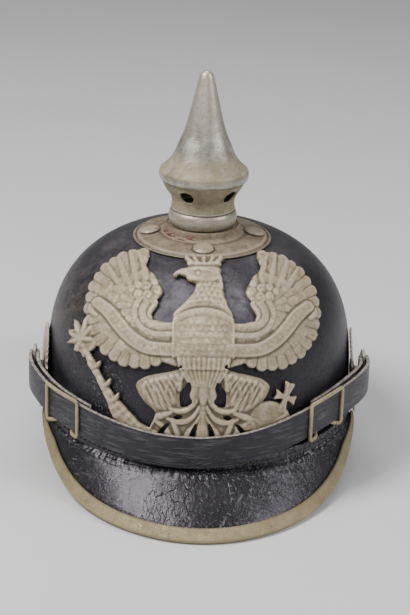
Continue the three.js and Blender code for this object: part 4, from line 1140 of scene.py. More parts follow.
def neck_and_head():
    """The sheet under the neck, a scaled throat, the head with brow, beak and eye, the crown."""
    global relief
    neck = polygon([(-12, 106), (-8.6, 100.2), (-13, 98.2), (-17.4, 94.9), (-18, 93.4),
                    (-16.4, 92.6), (-14.2, 93.9), (-11, 93), (-9, 90.6), (-5.2, 89.6),
                    (-5.0, 87), (-7.2, 83.6), (-11, 79.2), (-14.5, 75.8), (-17.6, 71),
                    (-17.4, 58), (-14.5, 46), (-11, 41), (-4, 20), (0, -3), (4, 20), (10, 41),
                    (14, 46), (16.6, 58), (16.6, 69), (14.8, 74.5), (13.2, 77.6), (13.4, 79.6),
                    (11.9, 81.6), (12.0, 83.8), (10.9, 85.8), (11.4, 88), (10.3, 90),
                    (10.9, 92.4), (10.0, 94.6), (10.6, 98), (9, 100.2), (13, 106)])
    plate(neck, 0.5)
    throat = outline([(-5.4, 88.4), (-2, 91), (6, 91), (10.6, 90), (11.2, 84), (13.2, 78),
                      (16, 71), (8, 75), (0, 77), (-9, 75), (-16.4, 71), (-12.4, 77.6),
                      (-6.8, 83.6)])
    rows = (V - 70) / 2.9 + 0.25 * np.abs(U - 2) / 6
    tilt = (U - 2 - (V - 90) * 0.12) / (2.4 + (91 - V) * 0.09)
    f = (tilt + 0.5 * (np.floor(rows) % 2)) % 1
    scale = (1 - rows % 1) * 0.34 + 0.34 * (1 - (2 * f - 1) ** 2)
    lay(throat, 0.95 + scale + 0.3 * (1 - ((U - 2) / 12) ** 2), 2.0, False)
    head = outline([(-9.4, 91.4), (-13.0, 94.2), (-12.2, 97.0), (-7.5, 99.2), (2, 99.8),
                    (8.6, 98.8), (9.9, 95), (8.9, 90.6), (3, 89), (-3.4, 89.4)])
    lay(head, 1.9 + 0.3 * np.clip(-head / 5, 0, 1), 1.6, False)
    brow = [(-11, 95.4, 1.6), (-6, 96.8, 2.4), (0, 96.6, 2.2), (5, 95.2, 1.6)]
    beak = [(-6, 94.6, 5.4), (-10.5, 95.5, 5.0), (-14.4, 95.0, 3.4), (-17.4, 93.6, 1.4)]
    jaw = [(-4, 91.2, 2.2), (-8.6, 91.6, 1.8), (-11.4, 92.4, 1.0)]
    rod(brow, 2.7, 0.4, 0.8)
    rod(beak, 2.35, 0.8, 0.8)
    rod(jaw, 1.5, 0.3, 0.6)
    eye = np.hypot(U + 3.4, V - 94.4)
    relief = relief - 0.4 * groove(eye - 1.7, 0.4)
    plate(eye - 1.0, 2.3, 0.7, False)
    for row in range(3):
        rod([(5.6 + row * 1.3, 97.6 - row * 2.6, 2.6), (8.4 + row * 0.7, 94.6 - row * 2.6, 2.2),
             (10.2 + row * 0.1, 92.0 - row * 2.6, 1.2)], 1.75, 0.4)
    crown_band, place, along = band([(-9.0, 101.2, 2.4), (0, 100.4, 2.6), (9.2, 101.2, 2.4)])
    lay(crown_band, 1.9 - 0.25 * place ** 2 + 0.2 * np.cos(along * 2.6), 0.7)
    for reach in (-8, -4.2, 0, 4.2, 8):
        rod([(reach * 0.86, 101.6, 2.6), (reach * 1.25, 104.6, 2.8), (reach * 0.9, 108, 2.4)],
            1.9, 0.7, cuts_sheet=True)


def breast():
    """Arched panel over the breast, filled with plain rows of small feathers."""
    panel = polygon([(-17, 47.4), (16, 47.4), (16.2, 68), (12, 71), (6, 73), (0, 73.6),
                     (-6, 73), (-12, 71), (-17.2, 68)])
    plate(panel, 1.15, 0.8, False)
    field = polygon([(-14.6, 49), (13.8, 49), (13.8, 66.6), (9, 69), (0, 70.2), (-9, 69),
                     (-14.8, 66.6)])
    rows = (V - 48) / 3.6
    f = ((U + 0.4) / 3.4 + 0.5 * (np.floor(rows) % 2)) % 1
    tip = rows % 1 - 0.42 * (2 * f - 1) ** 2
    feather = 0.3 * np.clip(1 - tip, 0, 1) + 0.3 * (1 - (2 * f - 1) ** 2)
    lay(field, 0.85 + feather, 0.5, False)
    for side in (-17.2, 16.2):
        rod([(side, 48, 1.6), (side, 67.4, 1.6)], 1.5, 0.3, 0.5)
    for rise, wide, level in ((0, 4.4, 1.5), (4.7, 3.6, 1.15)):
        arch, place, along = band([(-16.6, 68.2 + rise * 0.7, wide * 0.9),
                                   (-9, 71.7 + rise, wide), (0, 73.2 + rise, wide),
                                   (9, 71.7 + rise, wide), (15.6, 68.2 + rise * 0.7, wide * 0.9)])
        edge_line = groove(np.abs(place) - 0.78, 0.1)
        beads = step_up((np.hypot((along % 3.0 - 1.5) / 0.9, place * wide / 1.6) - 1), 0.8)
        lay(arch, level - 0.26 * edge_line + (0.28 * beads if rise == 0 else 0), 0.6, False)


def lower_body(hand):
    """Feathered thigh, the leg's claws, and the scrolls of the tail on one hand."""
    skirt = outline(mirrored(hand, [(4, 44), (12, 42), (18, 40), (27, 38.2), (33.6, 36.2),
                                    (37.6, 32.6), (36.4, 27.6), (32.6, 22), (28.4, 18.4),
                                    (26.4, 15), (29, 8.6), (31, 2), (30, -3.6), (8, -3.6),
                                    (0.5, -2), (0, 20), (0.5, 42)]))
    plate(skirt, 0.35)
    thigh = outline(mirrored(hand, [(9.4, 41.2), (18, 39.4), (27.4, 37.4), (33.2, 35),
                                    (36.6, 31.6), (35.2, 27.2), (31.6, 22.4), (26.4, 18.2),
                                    (19.6, 16.8), (14.8, 21.4), (13.8, 28.4), (10.6, 34.4)]))
    across = (hand * U - 0.55 * V) / 1.14
    streaks = 0.22 * np.cos(2 * np.pi * across / 2.9 + 1.3 * np.sin(V / 3.6))
    streaks += 0.14 * np.cos(2 * np.pi * across / 1.9 + 1.7 * np.sin(V / 2.3))
    tips = 0.55 * groove(thigh + 2.6, 1.5) * (1 + np.cos(2 * np.pi * hand * U / 3.6)) / 2
    tips += 0.4 * groove(thigh + 7.4, 1.6) * (1 + np.cos(2 * np.pi * (hand * U / 3.6 + 0.5))) / 2
    tips *= np.clip((V - 25) / 4, 0, 1)
    lay(thigh, 1.15 + streaks + tips + 0.35 * np.clip(-thigh / 8, 0, 1), 2.6, False)
    forms = [
        [(9.2, 41.5, 3.0), (12.4, 36.5, 3.4), (13.2, 30, 3.0)],
        [(2.4, 27, 2.4), (4.6, 22.2, 3.2), (9, 18.6, 3.6), (14, 17.8, 3.4), (18.4, 19.4, 2.4)],
        [(2.2, 20.5, 2.4), (5, 15.2, 3.2), (9.6, 12.0, 3.6), (15, 11.8, 3.4), (19.4, 13.6, 2.4)],
        [(2.0, 15, 2.2), (5, 9.4, 2.8), (8.4, 4.8, 3.4), (9.6, -2, 3.6)],
        [(17.5, 17.2, 3.0), (22, 15.4, 4.6), (26.8, 13.4, 4.4), (29.4, 8.4, 3.4), (30.2, 2, 2.6)],
        [(16.6, 12.6, 3.0), (15.0, 8, 3.6), (13.4, 3, 3.8), (13.8, -3, 4.0)],
        [(26.4, 12.6, 3.2), (21, 8.2, 3.6), (17.8, 2.6, 4.2), (17.4, -3, 4.4)],
        [(27.5, 3.6, 2.2), (24.6, -0.4, 3.4), (23.4, -4, 3.6)],
    ]
    for rows in forms:
        form, place, along = band(mirrored(hand, rows))
        ribs = 0.1 * np.cos(along * 2 * np.pi / 3.2)
        lay(form, 1.7 - 0.9 * place ** 2 + ribs, 0.8, False)


def tail_and_belly():
    """Two fluted rows of feathers under the panel, and three leaves over the tail's stem."""
    stem, place, _ = band([(0, 36, 6.6), (0, 28, 6.0), (0, 20, 5.4), (0, 10, 6.4), (0, -3, 8.6)])
    lay(stem, 1.45 - 0.5 * place ** 2 - 0.16 * groove(np.abs(place) - 0.42, 0.1), 1.0, False)
    for side in (-1, 1):
        rod(mirrored(side, [(4.0, 33, 5.8), (4.9, 27, 5.4), (6.2, 21.8, 3.6), (7.8, 18.4, 1.4)]),
            1.7, 0.6)
    rod([(0, 33, 5.4), (0, 28, 5.9), (0, 24.6, 4.8), (0, 22.6, 2.2)], 2.15, 0.6)
    belly = polygon([(-15.2, 48), (-14.2, 41.3), (-8, 32), (0, 31.4), (8, 32), (14.2, 41.3),
                     (15.2, 48)])
    half = np.interp(V, [32, 41.3, 47.6], [8.2, 14.4, 15.4])
    fall = np.where(V > 41.3, (47.6 - V) / 6.3, (41.3 - V) / 9.3)
    lay(belly, 1.35 + 0.6 * np.clip(fall, 0, 1) + 0.2 * np.cos(11 * np.pi * U / half), 0.7, False)


def sceptre():
    """Sceptre in the claw on the left, with a leafy head and a swelling in the shaft."""
    shaft, place, along = band([(-68, 54, 4.6), (-66, 49.6, 3.6), (-62, 42, 5.0),
                                (-58.8, 36, 4.0), (-55.4, 30, 5.0), (-51.4, 23.4, 6.2),
                                (-46.6, 15.8, 9.8), (-41.6, 11.4, 8.6), (-35.6, 7.8, 5.6),
                                (-26, 3.4, 6.0)])
    ridges = 0.2 * np.cos(along * 2 * np.pi / 4.4) - 0.2 * groove(np.abs(place) - 0.3, 0.12)
    lay(shaft, 1.5 - 0.8 * place ** 2 + ridges, 0.8)
    for u, v, size in ((-61.4, 41, 3.0), (-55.4, 30.8, 3.1), (-50.8, 22.4, 3.4)):
        for side in (-1, 1):
            rod([(u, v, 1.8), (u + side * size * 0.7, v + size * 0.6, 2.8),
                 (u + side * size, v + size * 1.3, 1.0)], 1.9, 0.6, cuts_sheet=True)
    head = outline([(-63.6, 50.4), (-61, 52.6), (-60.4, 56.6), (-63.2, 58.6), (-61.6, 61),
                    (-63.6, 65.6), (-66.2, 65), (-66.2, 70.6), (-68.6, 68), (-68.9, 63.6),
                    (-71.6, 67.4), (-74.6, 68.6), (-73.6, 63.6), (-77.8, 62.6), (-75.6, 58.4),
                    (-78.6, 55), (-73.8, 54.2), (-74, 50.4), (-70, 49.6), (-68, 46.6)])
    plate(head, 1.0, 0.9)
    for u, v in ((-62.4, 57), (-63.6, 64), (-66.8, 68.6), (-73.2, 66), (-76, 60.6),
                 (-76.4, 55.4), (-72, 50.8)):
        rod([(-68.6, 57.6, 3.0), ((u - 68.6) / 2, (v + 57.6) / 2, 3.4), (u, v, 1.6)], 2.0, 0.9)
    plate(np.hypot(U + 68.6, V - 57.6) - 2.4, 2.2, 1.6, False)


def orb():
    """Orb with a splayed cross in the claw on the right, tilted outwards."""
    ball = np.hypot(U - 38.0, V - 11.0) - 13.2
    lay(ball, 0.5 + 1.2 * np.sqrt(np.clip(-ball / 13.2, 0, 1)), 0.8)
    girdle = [(27.2, 14.2, 2.2), (36, 11.6, 2.6), (46, 16, 2.4), (49.4, 20, 1.8)]
    meridian = [(36.4, 11.4, 2.2), (41, 5, 2.4), (40.6, -1.6, 2.2)]
    for rows, level in ((girdle, 1.75), (meridian, 1.7)):
        hoop, place, _ = band(rows)
        lay(np.maximum(hoop, ball + 0.4), level - 0.25 * place ** 2, 0.6, False)
    for turn, reach in ((18, 9.6), (108, 6.8), (198, 9.8), (288, 6.8)):
        su, sv = math.sin(math.radians(turn)), math.cos(math.radians(turn))
        arm = polygon([(47.0 + side * sv + out * su, 26.2 - side * su + out * sv)
                       for side, out in ((-1.5, -1.2), (-1.7, 2.6), (-3.1, reach - 0.4),
                                         (0, reach - 1), (3.1, reach - 0.4), (1.7, 2.6),
                                         (1.5, -1.2))])
        lay(arm, 1.2 + 0.35 * groove(arm + 0.7, 0.35), 0.5)
    rod([(20, 8.4, 5.0), (25, 9.6, 5.4), (30, 9, 4.0)], 1.4, 0.5, 0.9, True)


def piercings():
    """Openings cut through the lower half, on both hands."""
    cut = np.full(U.shape, 1e9)
    for hand in (-1, 1):
        for points in ([(7.4, 34), (9.2, 33.4), (10.4, 31.4), (12.8, 27.8), (12.6, 21),
                        (9.6, 20.4), (6, 23.2), (7.8, 26.8), (6.6, 30.4)],
                       [(11.4, 14.4), (13.6, 15.5), (16.3, 14), (13.8, 13)],
                       [(18.4, 10.3), (21.4, 9.7), (24.8, 4.4), (23.2, 3.2), (20.6, 6.8)],
                       [(3.5, 11.6), (6.1, 7.2), (6.8, 2.4), (4.7, 2.4), (3.7, 6.4)]):
            cut = np.minimum(cut, outline(mirrored(hand, points)))
    return cut


for hand in (-1, 1):
    wing(hand)
neck_and_head()
for hand in (-1, 1):
    ribbon(hand)
    lower_body(hand)
breast()
tail_and_belly()
sceptre()
orb()


def softened(field, radius):
    """The field blurred by a bell of that radius in millimetres, its border held."""
    reach = int(3 * radius / EAGLE["pitch"]) + 1
    bell = np.exp(-0.5 * (np.arange(-reach, reach + 1) * EAGLE["pitch"] / radius) ** 2)
    bell /= bell.sum()
    for axis in (0, 1):
        padded = np.pad(field, [(reach, reach) if a == axis else (0, 0) for a in (0, 1)], "edge")
        field = np.apply_along_axis(np.convolve, axis, padded, bell, "valid")
    return field


def eagle_mesh():
    """The wrapped sheet as a grid whose cut edges are drawn onto the outline."""
    base, normals = wrapped_grid()
    holes = piercings()
    under_plate = PLATE["radius"] + 0.5 - np.hypot(base[..., 0], base[..., 1])
    cut = np.maximum(np.maximum(edge, -holes), under_plate)
    cut = np.maximum(cut, EAGLE["foot"] - base[..., 2])
    height = softened(relief, EAGLE["soft"])
    # Crest values for the paint: hollows of the relief take painted shade and grime, its crests
    # rubbed paint and a painted highlight.
    crest = np.clip(0.5 + 2.0 * (height - softened(height, EAGLE["shade"])), 0, 1)
    height -= EAGLE["roll"] * np.clip(1 + cut / EAGLE["roll_width"], 0, 1) ** 2
    low = np.clip((20 - V) / 8, 0, 1)
    height = np.where(low > 0, np.minimum(height, 3 - low * 1.9), height)
    slope_v, slope_u = np.gradient(cut, EAGLE["pitch"])
    steep = np.maximum(np.hypot(slope_u, slope_v), 0.3)
    snap = EAGLE["snap"] * EAGLE["pitch"]
    snapped = np.abs(cut) < snap
    shift_u = np.where(snapped, -cut * slope_u / steep ** 2, 0)
    shift_v = np.where(snapped, -cut * slope_v / steep ** 2, 0)
    du, dv = np.gradient(base, EAGLE["pitch"], axis=1), np.gradient(base, EAGLE["pitch"], axis=0)
    points = base + du * shift_u[..., None] + dv * shift_v[..., None]
    points += normals * (EAGLE["stand"] + height)[..., None]
    kept = cut < snap
    deep = cut < 0
    four = kept[:-1, :-1] & kept[:-1, 1:] & kept[1:, 1:] & kept[1:, :-1]
    some = deep[:-1, :-1] | deep[:-1, 1:] | deep[1:, 1:] | deep[1:, :-1]
    rows, columns = np.nonzero(four & some)
    wide = U.shape[1]
    first = rows * wide + columns
    faces = np.stack([first, first + 1, first + wide + 1, first + wide], -1)
    used, index = np.unique(faces, return_inverse=True)
    return (points.reshape(-1, 3)[used], index.reshape(faces.shape).tolist(),
            crest.reshape(-1)[used])


eagle_paint = field_paint("eagle_paint", (0.195, 0.155, 0.083), (0.335, 0.272, 0.16),
                          (0.65, 0.55, 0.415), rub=0.5, rough=0.4, metal=0.5, relief=True)
eagle = add_worn_and_shaded("eagle_pressing", *eagle_mesh(), eagle_paint, "front_plate")
thicken(eagle, EAGLE["sheet"])

# ---- Chin strap -----------------------------------------------------------------------------
# One leather band laid round the front of the skull. On each side it folds round the bar of a
# lug and runs back inside itself through the buckle; its cut edges show the pale raw hide.
STRAP = dict(width=19.2, leather=2.2, clear=3.5, leave=44.0)
LUG = dict(x=101.2, z=55.0, sheet=1.6, bar_front=-25.5, bar=3.5, slot=5.0, arm=1.7)
STRAP_WRAP = LUG["sheet"] / 2 + 0.3 + STRAP["leather"] / 2
STRAP_LEFT = [(0, 40.5), (30, 40.7), (50, 42.8), (64, 43.8), (80, 44.7), (110, 46.0),
              (126, 50.5), (146, 55.0)]           # distance from the front, height of the middle
STRAP_RIGHT = [(0, 40.5), (28, 42.3), (47, 45.8), (62, 48.4), (84, 50.8), (100, 51.7),
               (118, 53.2), (146, 55.0)]


def wall_points(side, stand):
    """Plan points at a distance outside the front wall of the skull."""
    a, b = SKULL["half_width"], SKULL["half_front"]
    out = unit(np.stack([np.sin(side) / a, -np.cos(side) / b], -1))
    return np.stack([a * np.sin(side), -b * np.cos(side)], -1) + out * stand


def strap_outer(hand):
    """Middle line of the outer layer on one hand, and the way out of the helmet along it."""
    stand = STRAP["clear"] + STRAP["leather"] / 2
    round_front = wall_points(hand * np.radians(np.arange(0, STRAP["leave"], 2.0)), stand)
    leave = wall_points(np.array(hand * math.radians(STRAP["leave"])), stand)
    knee = np.array([hand * (LUG["x"] + STRAP_WRAP), LUG["bar_front"] - 2])
    pull = np.array([knee[0], -43.0])
    t = np.linspace(0, 1, 25)[:, None]
    free = (1 - t) ** 2 * leave + 2 * t * (1 - t) * pull + t ** 2 * knee
    plan = np.concatenate([round_front, free])
    run = np.concatenate([[0], np.cumsum(np.linalg.norm(np.diff(plan, axis=0), axis=1))])
    rows = np.array(STRAP_LEFT if hand < 0 else STRAP_RIGHT)
    height = np.interp(run, rows[:, 0], rows[:, 1])
    for _ in range(6):
        height[1:-1] = (height[:-2] + height[1:-1] + height[2:]) / 3
    line = np.column_stack([plan, height])
    along = np.gradient(line[:, :2], axis=0)
    return line, unit(np.stack([along[:, 1], -along[:, 0]], -1) * hand), run


def strap_half(hand):
    """The outer layer, the fold round the lug's bar and the end returned inside."""
    line, out, _ = strap_outer(hand)
    fold_y = LUG["bar_front"] + LUG["bar"] - LUG["sheet"] / 2 + 0.3
    fold = [(hand * (LUG["x"] + STRAP_WRAP * math.cos(t)), fold_y + STRAP_WRAP * math.sin(t),
             LUG["z"]) for t in np.radians([0, 22, 45, 68, 90, 112, 135, 158, 180])]
    inside = LUG["x"] - STRAP_WRAP
    back = [(hand * inside, LUG["bar_front"] - 2, LUG["z"])]
    for k in range(len(line) - 3, 0, -1):
        if line[k, 1] < -86:
            break
        p = line[k].copy()
        p[:2] -= out[k] * (STRAP["leather"] + 0.3 + 1.7 * math.exp(-((line[k, 1] + 28) / 15) ** 2))
        p[2] += 1 + 1.2 * math.exp(-((line[k, 1] + 54) / 13) ** 2)
        p[0] = hand * min(abs(p[0]), inside - 0.3)
        back.append(tuple(p))
    return np.concatenate([line, fold, back])


def strap_mesh():
    """The band with softly rounded edges, and which of its faces are the cut edges."""
    line = np.concatenate([strap_half(-1)[::-1], strap_half(1)[1:]])
    along = np.gradient(line, axis=0)
    across = unit(np.stack([along[:, 1], -along[:, 0], np.zeros(len(line))], -1))
    half, thick = STRAP["width"] / 2, STRAP["leather"] / 2
    profile = [(-1, -0.6), (-1, 0.6), (-0.965, 0.92), (-0.9, 1.0), (-0.86, 0.93), (-0.8, 1.0),
               (-0.4, 1.04), (0, 1.05), (0.4, 1.04), (0.8, 1.0), (0.86, 0.93), (0.9, 1.0),
               (0.965, 0.92), (1, 0.6), (1, -0.6), (0.965, -0.92), (0.9, -1.0), (0, -1.0),
               (-0.9, -1.0), (-0.965, -0.92)]
    sections = np.stack([line + np.array([0, 0, u * half]) + across * n * thick
                         for u, n in profile], 1)
    points, faces = loft(sections)
    raw = []
    for face in faces:
        places = {index % len(profile) for index in face}
        raw.append(len(face) > 4 or places <= {19, 0, 1, 2} or places <= {12, 13, 14, 15})
    return points, faces, raw


def strap_leather():
    """Black leather with level streaks of wear and a net of short cracks."""
    material, tree, shader = new_material("strap_leather", IOR=1.5, Specular_Tint=LACQUER_TINT)
    where = object_place(tree)
    streaks = noise(tree, stretched(tree, where, (0.12, 0.12, 1.0)), 620.0, 4.0)
    cloud = noise(tree, where, 42.0, 5.0)
    net = crackled(tree, 520.0, (0.35, 0.35, 1.0), 0.05, 34.0, 1500.0)
    colour = ramp(tree, cloud, [(0.3, (0.007, 0.007, 0.009)), (0.7, (0.018, 0.018, 0.022))])
    colour = mix(tree, span(tree, streaks, 0.52, 0.68), colour, (0.085, 0.082, 0.09), 0.7)
    colour = mix(tree, net["Cracks"], colour, (0.1, 0.095, 0.1), 0.4)
    dress(tree, shader, Base_Color=colour,
          Roughness=sum_of(tree, (cloud, 0.2), (streaks, 0.25), (net["Grain"], 0.2)))
    bump(tree, shader, sum_of(tree, (streaks, 0.9), (net["Cracks"], -0.6), (net["Grain"], 0.5),
                              (cloud, 1.2)), 0.0006, 0.9)
    return material


raw_hide = fibrous("raw_hide_edge", "TexNoise", {"Scale": 500.0, "Detail": 5.0},
                   (0.35, (0.13, 0.115, 0.105)), (0.65, (0.40, 0.355, 0.315)), (0.6, 0.9), 1.4,
                   0.0004)
strap_points, strap_faces, strap_raw = strap_mesh()
strap = add_piece("chin_strap_band", strap_points, strap_faces, [strap_leather(), raw_hide],
                  "helmet", "chin_strap")
strap.data.polygons.foreach_set("material_index", np.array(strap_raw, np.int32))

# ---- Buckles --------------------------------------------------------------------------------
# Flat steel frames painted a yellower grey. Each grips the doubled strap; the lower bar is bent
# in under the strap's edge, so that only its two stubs show.
BUCKLE = dict(length=32.0, bar=2.3, wire=1.5, corner=1.6, left_at=96.5, right_at=84.5)


def buckle_mesh(hand, distance):
    """A frame bent round the strap at a distance from the front, from (along, up, out) rows."""
    line, out, run = strap_outer(hand)
    face = (STRAP["leather"] + BUCKLE["wire"]) / 2 + 0.3
    reach = STRAP["width"] / 2 + 0.3 + BUCKLE["bar"] / 2
    half = (BUCKLE["length"] - BUCKLE["bar"]) / 2
    foot = -reach - 0.7
    corner = BUCKLE["corner"]

    def place(along, height, stand):
        at = distance + along
        point = np.array([np.interp(at, run, line[:, k]) for k in range(3)])
        way = unit(np.array([np.interp(at, run, out[:, k]) for k in range(2)]))
        return point + np.array([*(way * stand), height]), np.array([*way, 0])

    under, behind = -STRAP["width"] / 2 - 0.3, -STRAP["leather"] - 0.3
    frame_line = [(-half + corner, reach, face), (-half / 3, reach, face), (half / 3, reach, face),
                  (half - corner, reach, face), (half - 0.4, reach - 0.4, face),
                  (half, reach - corner, face), (half, 0, face), (half, foot + corner, face),
                  (half - 0.4, foot + 0.4, face), (half - corner, foot, face - 0.2),
                  (half - 3, foot + 0.1, 0.6), (half - 4.6, foot + 0.5, -1.0),
                  (half - 6.4, under, behind), (half / 3, under, behind),
                  (-half / 3, under, behind), (10.4 - half, under, behind),
                  (8.6 - half, foot + 0.5, -1.0), (7 - half, foot + 0.1, 0.6),
                  (5.4 - half, foot, face - 0.4), (corner - half, foot, face),
                  (0.4 - half, foot + 0.4, face), (-half, foot + corner, face),
                  (-half, 0, face), (-half, reach - corner, face), (0.4 - half, reach - 0.4, face)]
    placed = [place(*row) for row in frame_line]
    points = np.array([p for p, _ in placed])
    middle = place(0, 0, face)[0]
    sections = []
    for k, (p, way) in enumerate(placed):
        along = unit(points[(k + 1) % len(points)] - points[k - 1])
        across = unit(np.cross(along, way))
        if np.dot(across, middle - p) < 0:
            across = -across
        away = np.cross(along, across)
        if np.dot(away, way) < 0:
            away = -away
        profile = [(-1, -1), (1, -1), (1, 0.4), (0.72, 0.85), (0.3, 1.0), (-0.3, 1.0),
                   (-0.72, 0.85), (-1, 0.4)]
        sections.append([p + across * a * BUCKLE["bar"] / 2 + away * n * BUCKLE["wire"] / 2
                         for a, n in profile])
    return loft(np.array(sections), ring=True)


buckle_paint = field_paint("buckle_paint", (0.20, 0.165, 0.075), (0.385, 0.335, 0.175),
                           (0.54, 0.48, 0.30), rub=0.46, rough=0.46)
for name, hand, at in (("left", -1, BUCKLE["left_at"]), ("right", 1, BUCKLE["right_at"])):
    add_piece("buckle_frame_" + name, *buckle_mesh(hand, at), [buckle_paint], "helmet",
              "buckle_" + name)

# ---- Strap lugs and side posts --------------------------------------------------------------
# The lug is a flat steel loop that the strap folds round. It and the cockade sit on a screwed
# post whose domed head holds both against the side of the skull.
POST = dict(y=-12.0, z=51.0, seat_x=94.7, washer=0.6, radius=2.5)


def lug_mesh(hand):
    """Outline and slot as two matching rings, bridged and given the sheet's thickness."""
    half = STRAP["width"] / 2 + 0.3 + LUG["arm"]
    slot_front = LUG["bar_front"] + LUG["bar"]
    slot_back = slot_front + LUG["slot"]
    tongue = POST["y"] + 6.5
    drop = POST["z"] - LUG["z"]
    outer = rounded([(LUG["bar_front"], -half), (slot_back + 1.5, -half), (tongue, drop - 5),
                     (tongue, drop + 5), (slot_back + 1.5, half), (LUG["bar_front"], half)],
                    1.8, 5)
    slot = rounded([(slot_front, -half + LUG["arm"]), (slot_back, -half + LUG["arm"]),
                    (slot_back, half - LUG["arm"]), (slot_front, half - LUG["arm"])], 0.8, 3)
    angles = np.linspace(0, 2 * math.pi, 20, endpoint=False)
    hole = np.stack([POST["y"] + (POST["radius"] + 0.4) * np.cos(angles),
                     drop + (POST["radius"] + 0.4) * np.sin(angles)], -1)
    rings = [outer, slot, hole]
    flat = [Vector(p) for ring in rings for p in ring]
    loops, start = [], 0
    for ring in rings:
        loops += [(start + k, start + (k + 1) % len(ring)) for k in range(len(ring))]
        start += len(ring)
    verts, _, faces, *_ = delaunay_2d_cdt(flat, loops, [], 0, 1e-4)
    verts = np.array([tuple(v) for v in verts])

    def within(ring, p):
        hit = False
        for a, b in zip(ring, np.roll(ring, -1, 0)):
            if (a[1] > p[1]) != (b[1] > p[1]):
                hit ^= p[0] < a[0] + (p[1] - a[1]) * (b[0] - a[0]) / (b[1] - a[1])
        return hit

    faces = [f for f in faces if [within(ring, verts[list(f)].mean(0)) for ring in rings]
             == [True, False, False]]
    points = np.column_stack([np.full(len(verts), hand * (LUG["x"] + LUG["sheet"] / 2)),
                              verts[:, 0], verts[:, 1] + LUG["z"]])
    return points, faced_out(points, faces, hand)


def faced_out(points, faces, hand):
    """The faces of a sheet, turned to look out of the helmet on that hand."""
    a, b, c = points[list(faces[0][:3])]
    outwards = np.cross(b - a, c - a)[0] * hand > 0
    return faces if outwards else [tuple(reversed(face)) for face in faces]


def side_lathe(profile, steps, hand):
    """A turned piece whose axis runs out of the side of the helmet at the post."""
    points, faces = lathe(profile, steps)
    moved = np.stack([hand * points[:, 2], points[:, 1] + POST["y"], points[:, 0] + POST["z"]], -1)
    return moved, outward_faces(moved, faces)


def post_mesh(hand):
    """Washer against the skull, shank, and the domed head that holds the lug."""
    lug_face = LUG["x"] + LUG["sheet"] / 2 + 0.3
    washer = POST["seat_x"] + POST["washer"]
    profile = [(0, POST["seat_x"]), (7, POST["seat_x"]), (7, washer), (POST["radius"], washer),
               (POST["radius"], lug_face), (4.2, lug_face), (4.2, lug_face + 0.7),
               (3.6, lug_face + 1.3), (2.4, lug_face + 1.7), (0, lug_face + 1.8)]
    return side_lathe(profile, 32, hand)


lug_paint = field_paint("lug_paint", (0.30, 0.285, 0.24), (0.46, 0.45, 0.40),
                        (0.66, 0.66, 0.62), rub=0.56, metal=0.5)
for name, hand in (("left", -1), ("right", 1)):
    lug = add_piece("strap_lug_loop_" + name, *lug_mesh(hand), [lug_paint], "helmet",
                    "strap_lug_" + name, flat=True)
    thicken(lug, LUG["sheet"])
    rim = lug.modifiers.new("edges", "BEVEL")
    rim.width = 0.25 * MM
    rim.segments = 2
    rim.limit_method = "ANGLE"
    add_piece("side_screw_" + name, *post_mesh(hand), [lug_paint], "helmet",
              "side_post_" + name)

# ---- Cockades -------------------------------------------------------------------------------
# Pressed steel discs with a toothed edge and raised rings, held on the posts behind the lugs.
# The pair is painted in rings, now dulled to a rusty pink with pale worn teeth and painted shade
# between them.
COCKADE = dict(radius=26.5, teeth=40, x=95.6, rise=1.2, sheet=0.6, lean=6.0, toe=8.0, flat=9.0)


def cockade_mesh(hand):
    """A ribbed, toothed disc as a grid of rings, its relief read from the radius."""
    radii = np.concatenate([[POST["radius"] + 0.5], np.linspace(4, COCKADE["radius"], 46)])
    steps = 240
    turns = np.linspace(0, 2 * math.pi, steps, endpoint=False)
    r, t = np.meshgrid(radii, turns, indexing="ij")
    rib = np.cos(t * COCKADE["teeth"])
    rings = 0.28 * groove(r - 9, 0.6) + 0.28 * groove(r - 18, 0.6)
    dish = 0.30 * step_up(r - 8, 1.5)
    rise = np.minimum(0.72 + rings + dish, COCKADE["rise"])
    rise += 0.45 * rib * np.clip((r - 19.5) / 4, 0, 1)
    far = np.where(r > 23.5, r - 0.7 * (1 - rib) * (r - 23.5) / 3, r)
    lean = -far * np.sin(t) * math.sin(math.radians(COCKADE["lean"]))
    lean += (np.maximum(far - COCKADE["flat"], 0) * np.cos(t)
             * math.sin(math.radians(COCKADE["toe"])))
    points = np.stack([hand * (COCKADE["x"] + rise + lean), POST["y"] + far * np.cos(t),
                       POST["z"] + far * np.sin(t)], -1).reshape(-1, 3)
    # Crest values: low in the gaps between the teeth, where the paint lays painted shade.
    crest = 0.5 + 0.5 * rib * step_up(22.8 - r, 1.0)
    return points, faced_out(points, quads(len(radii), steps), hand), crest.reshape(-1)


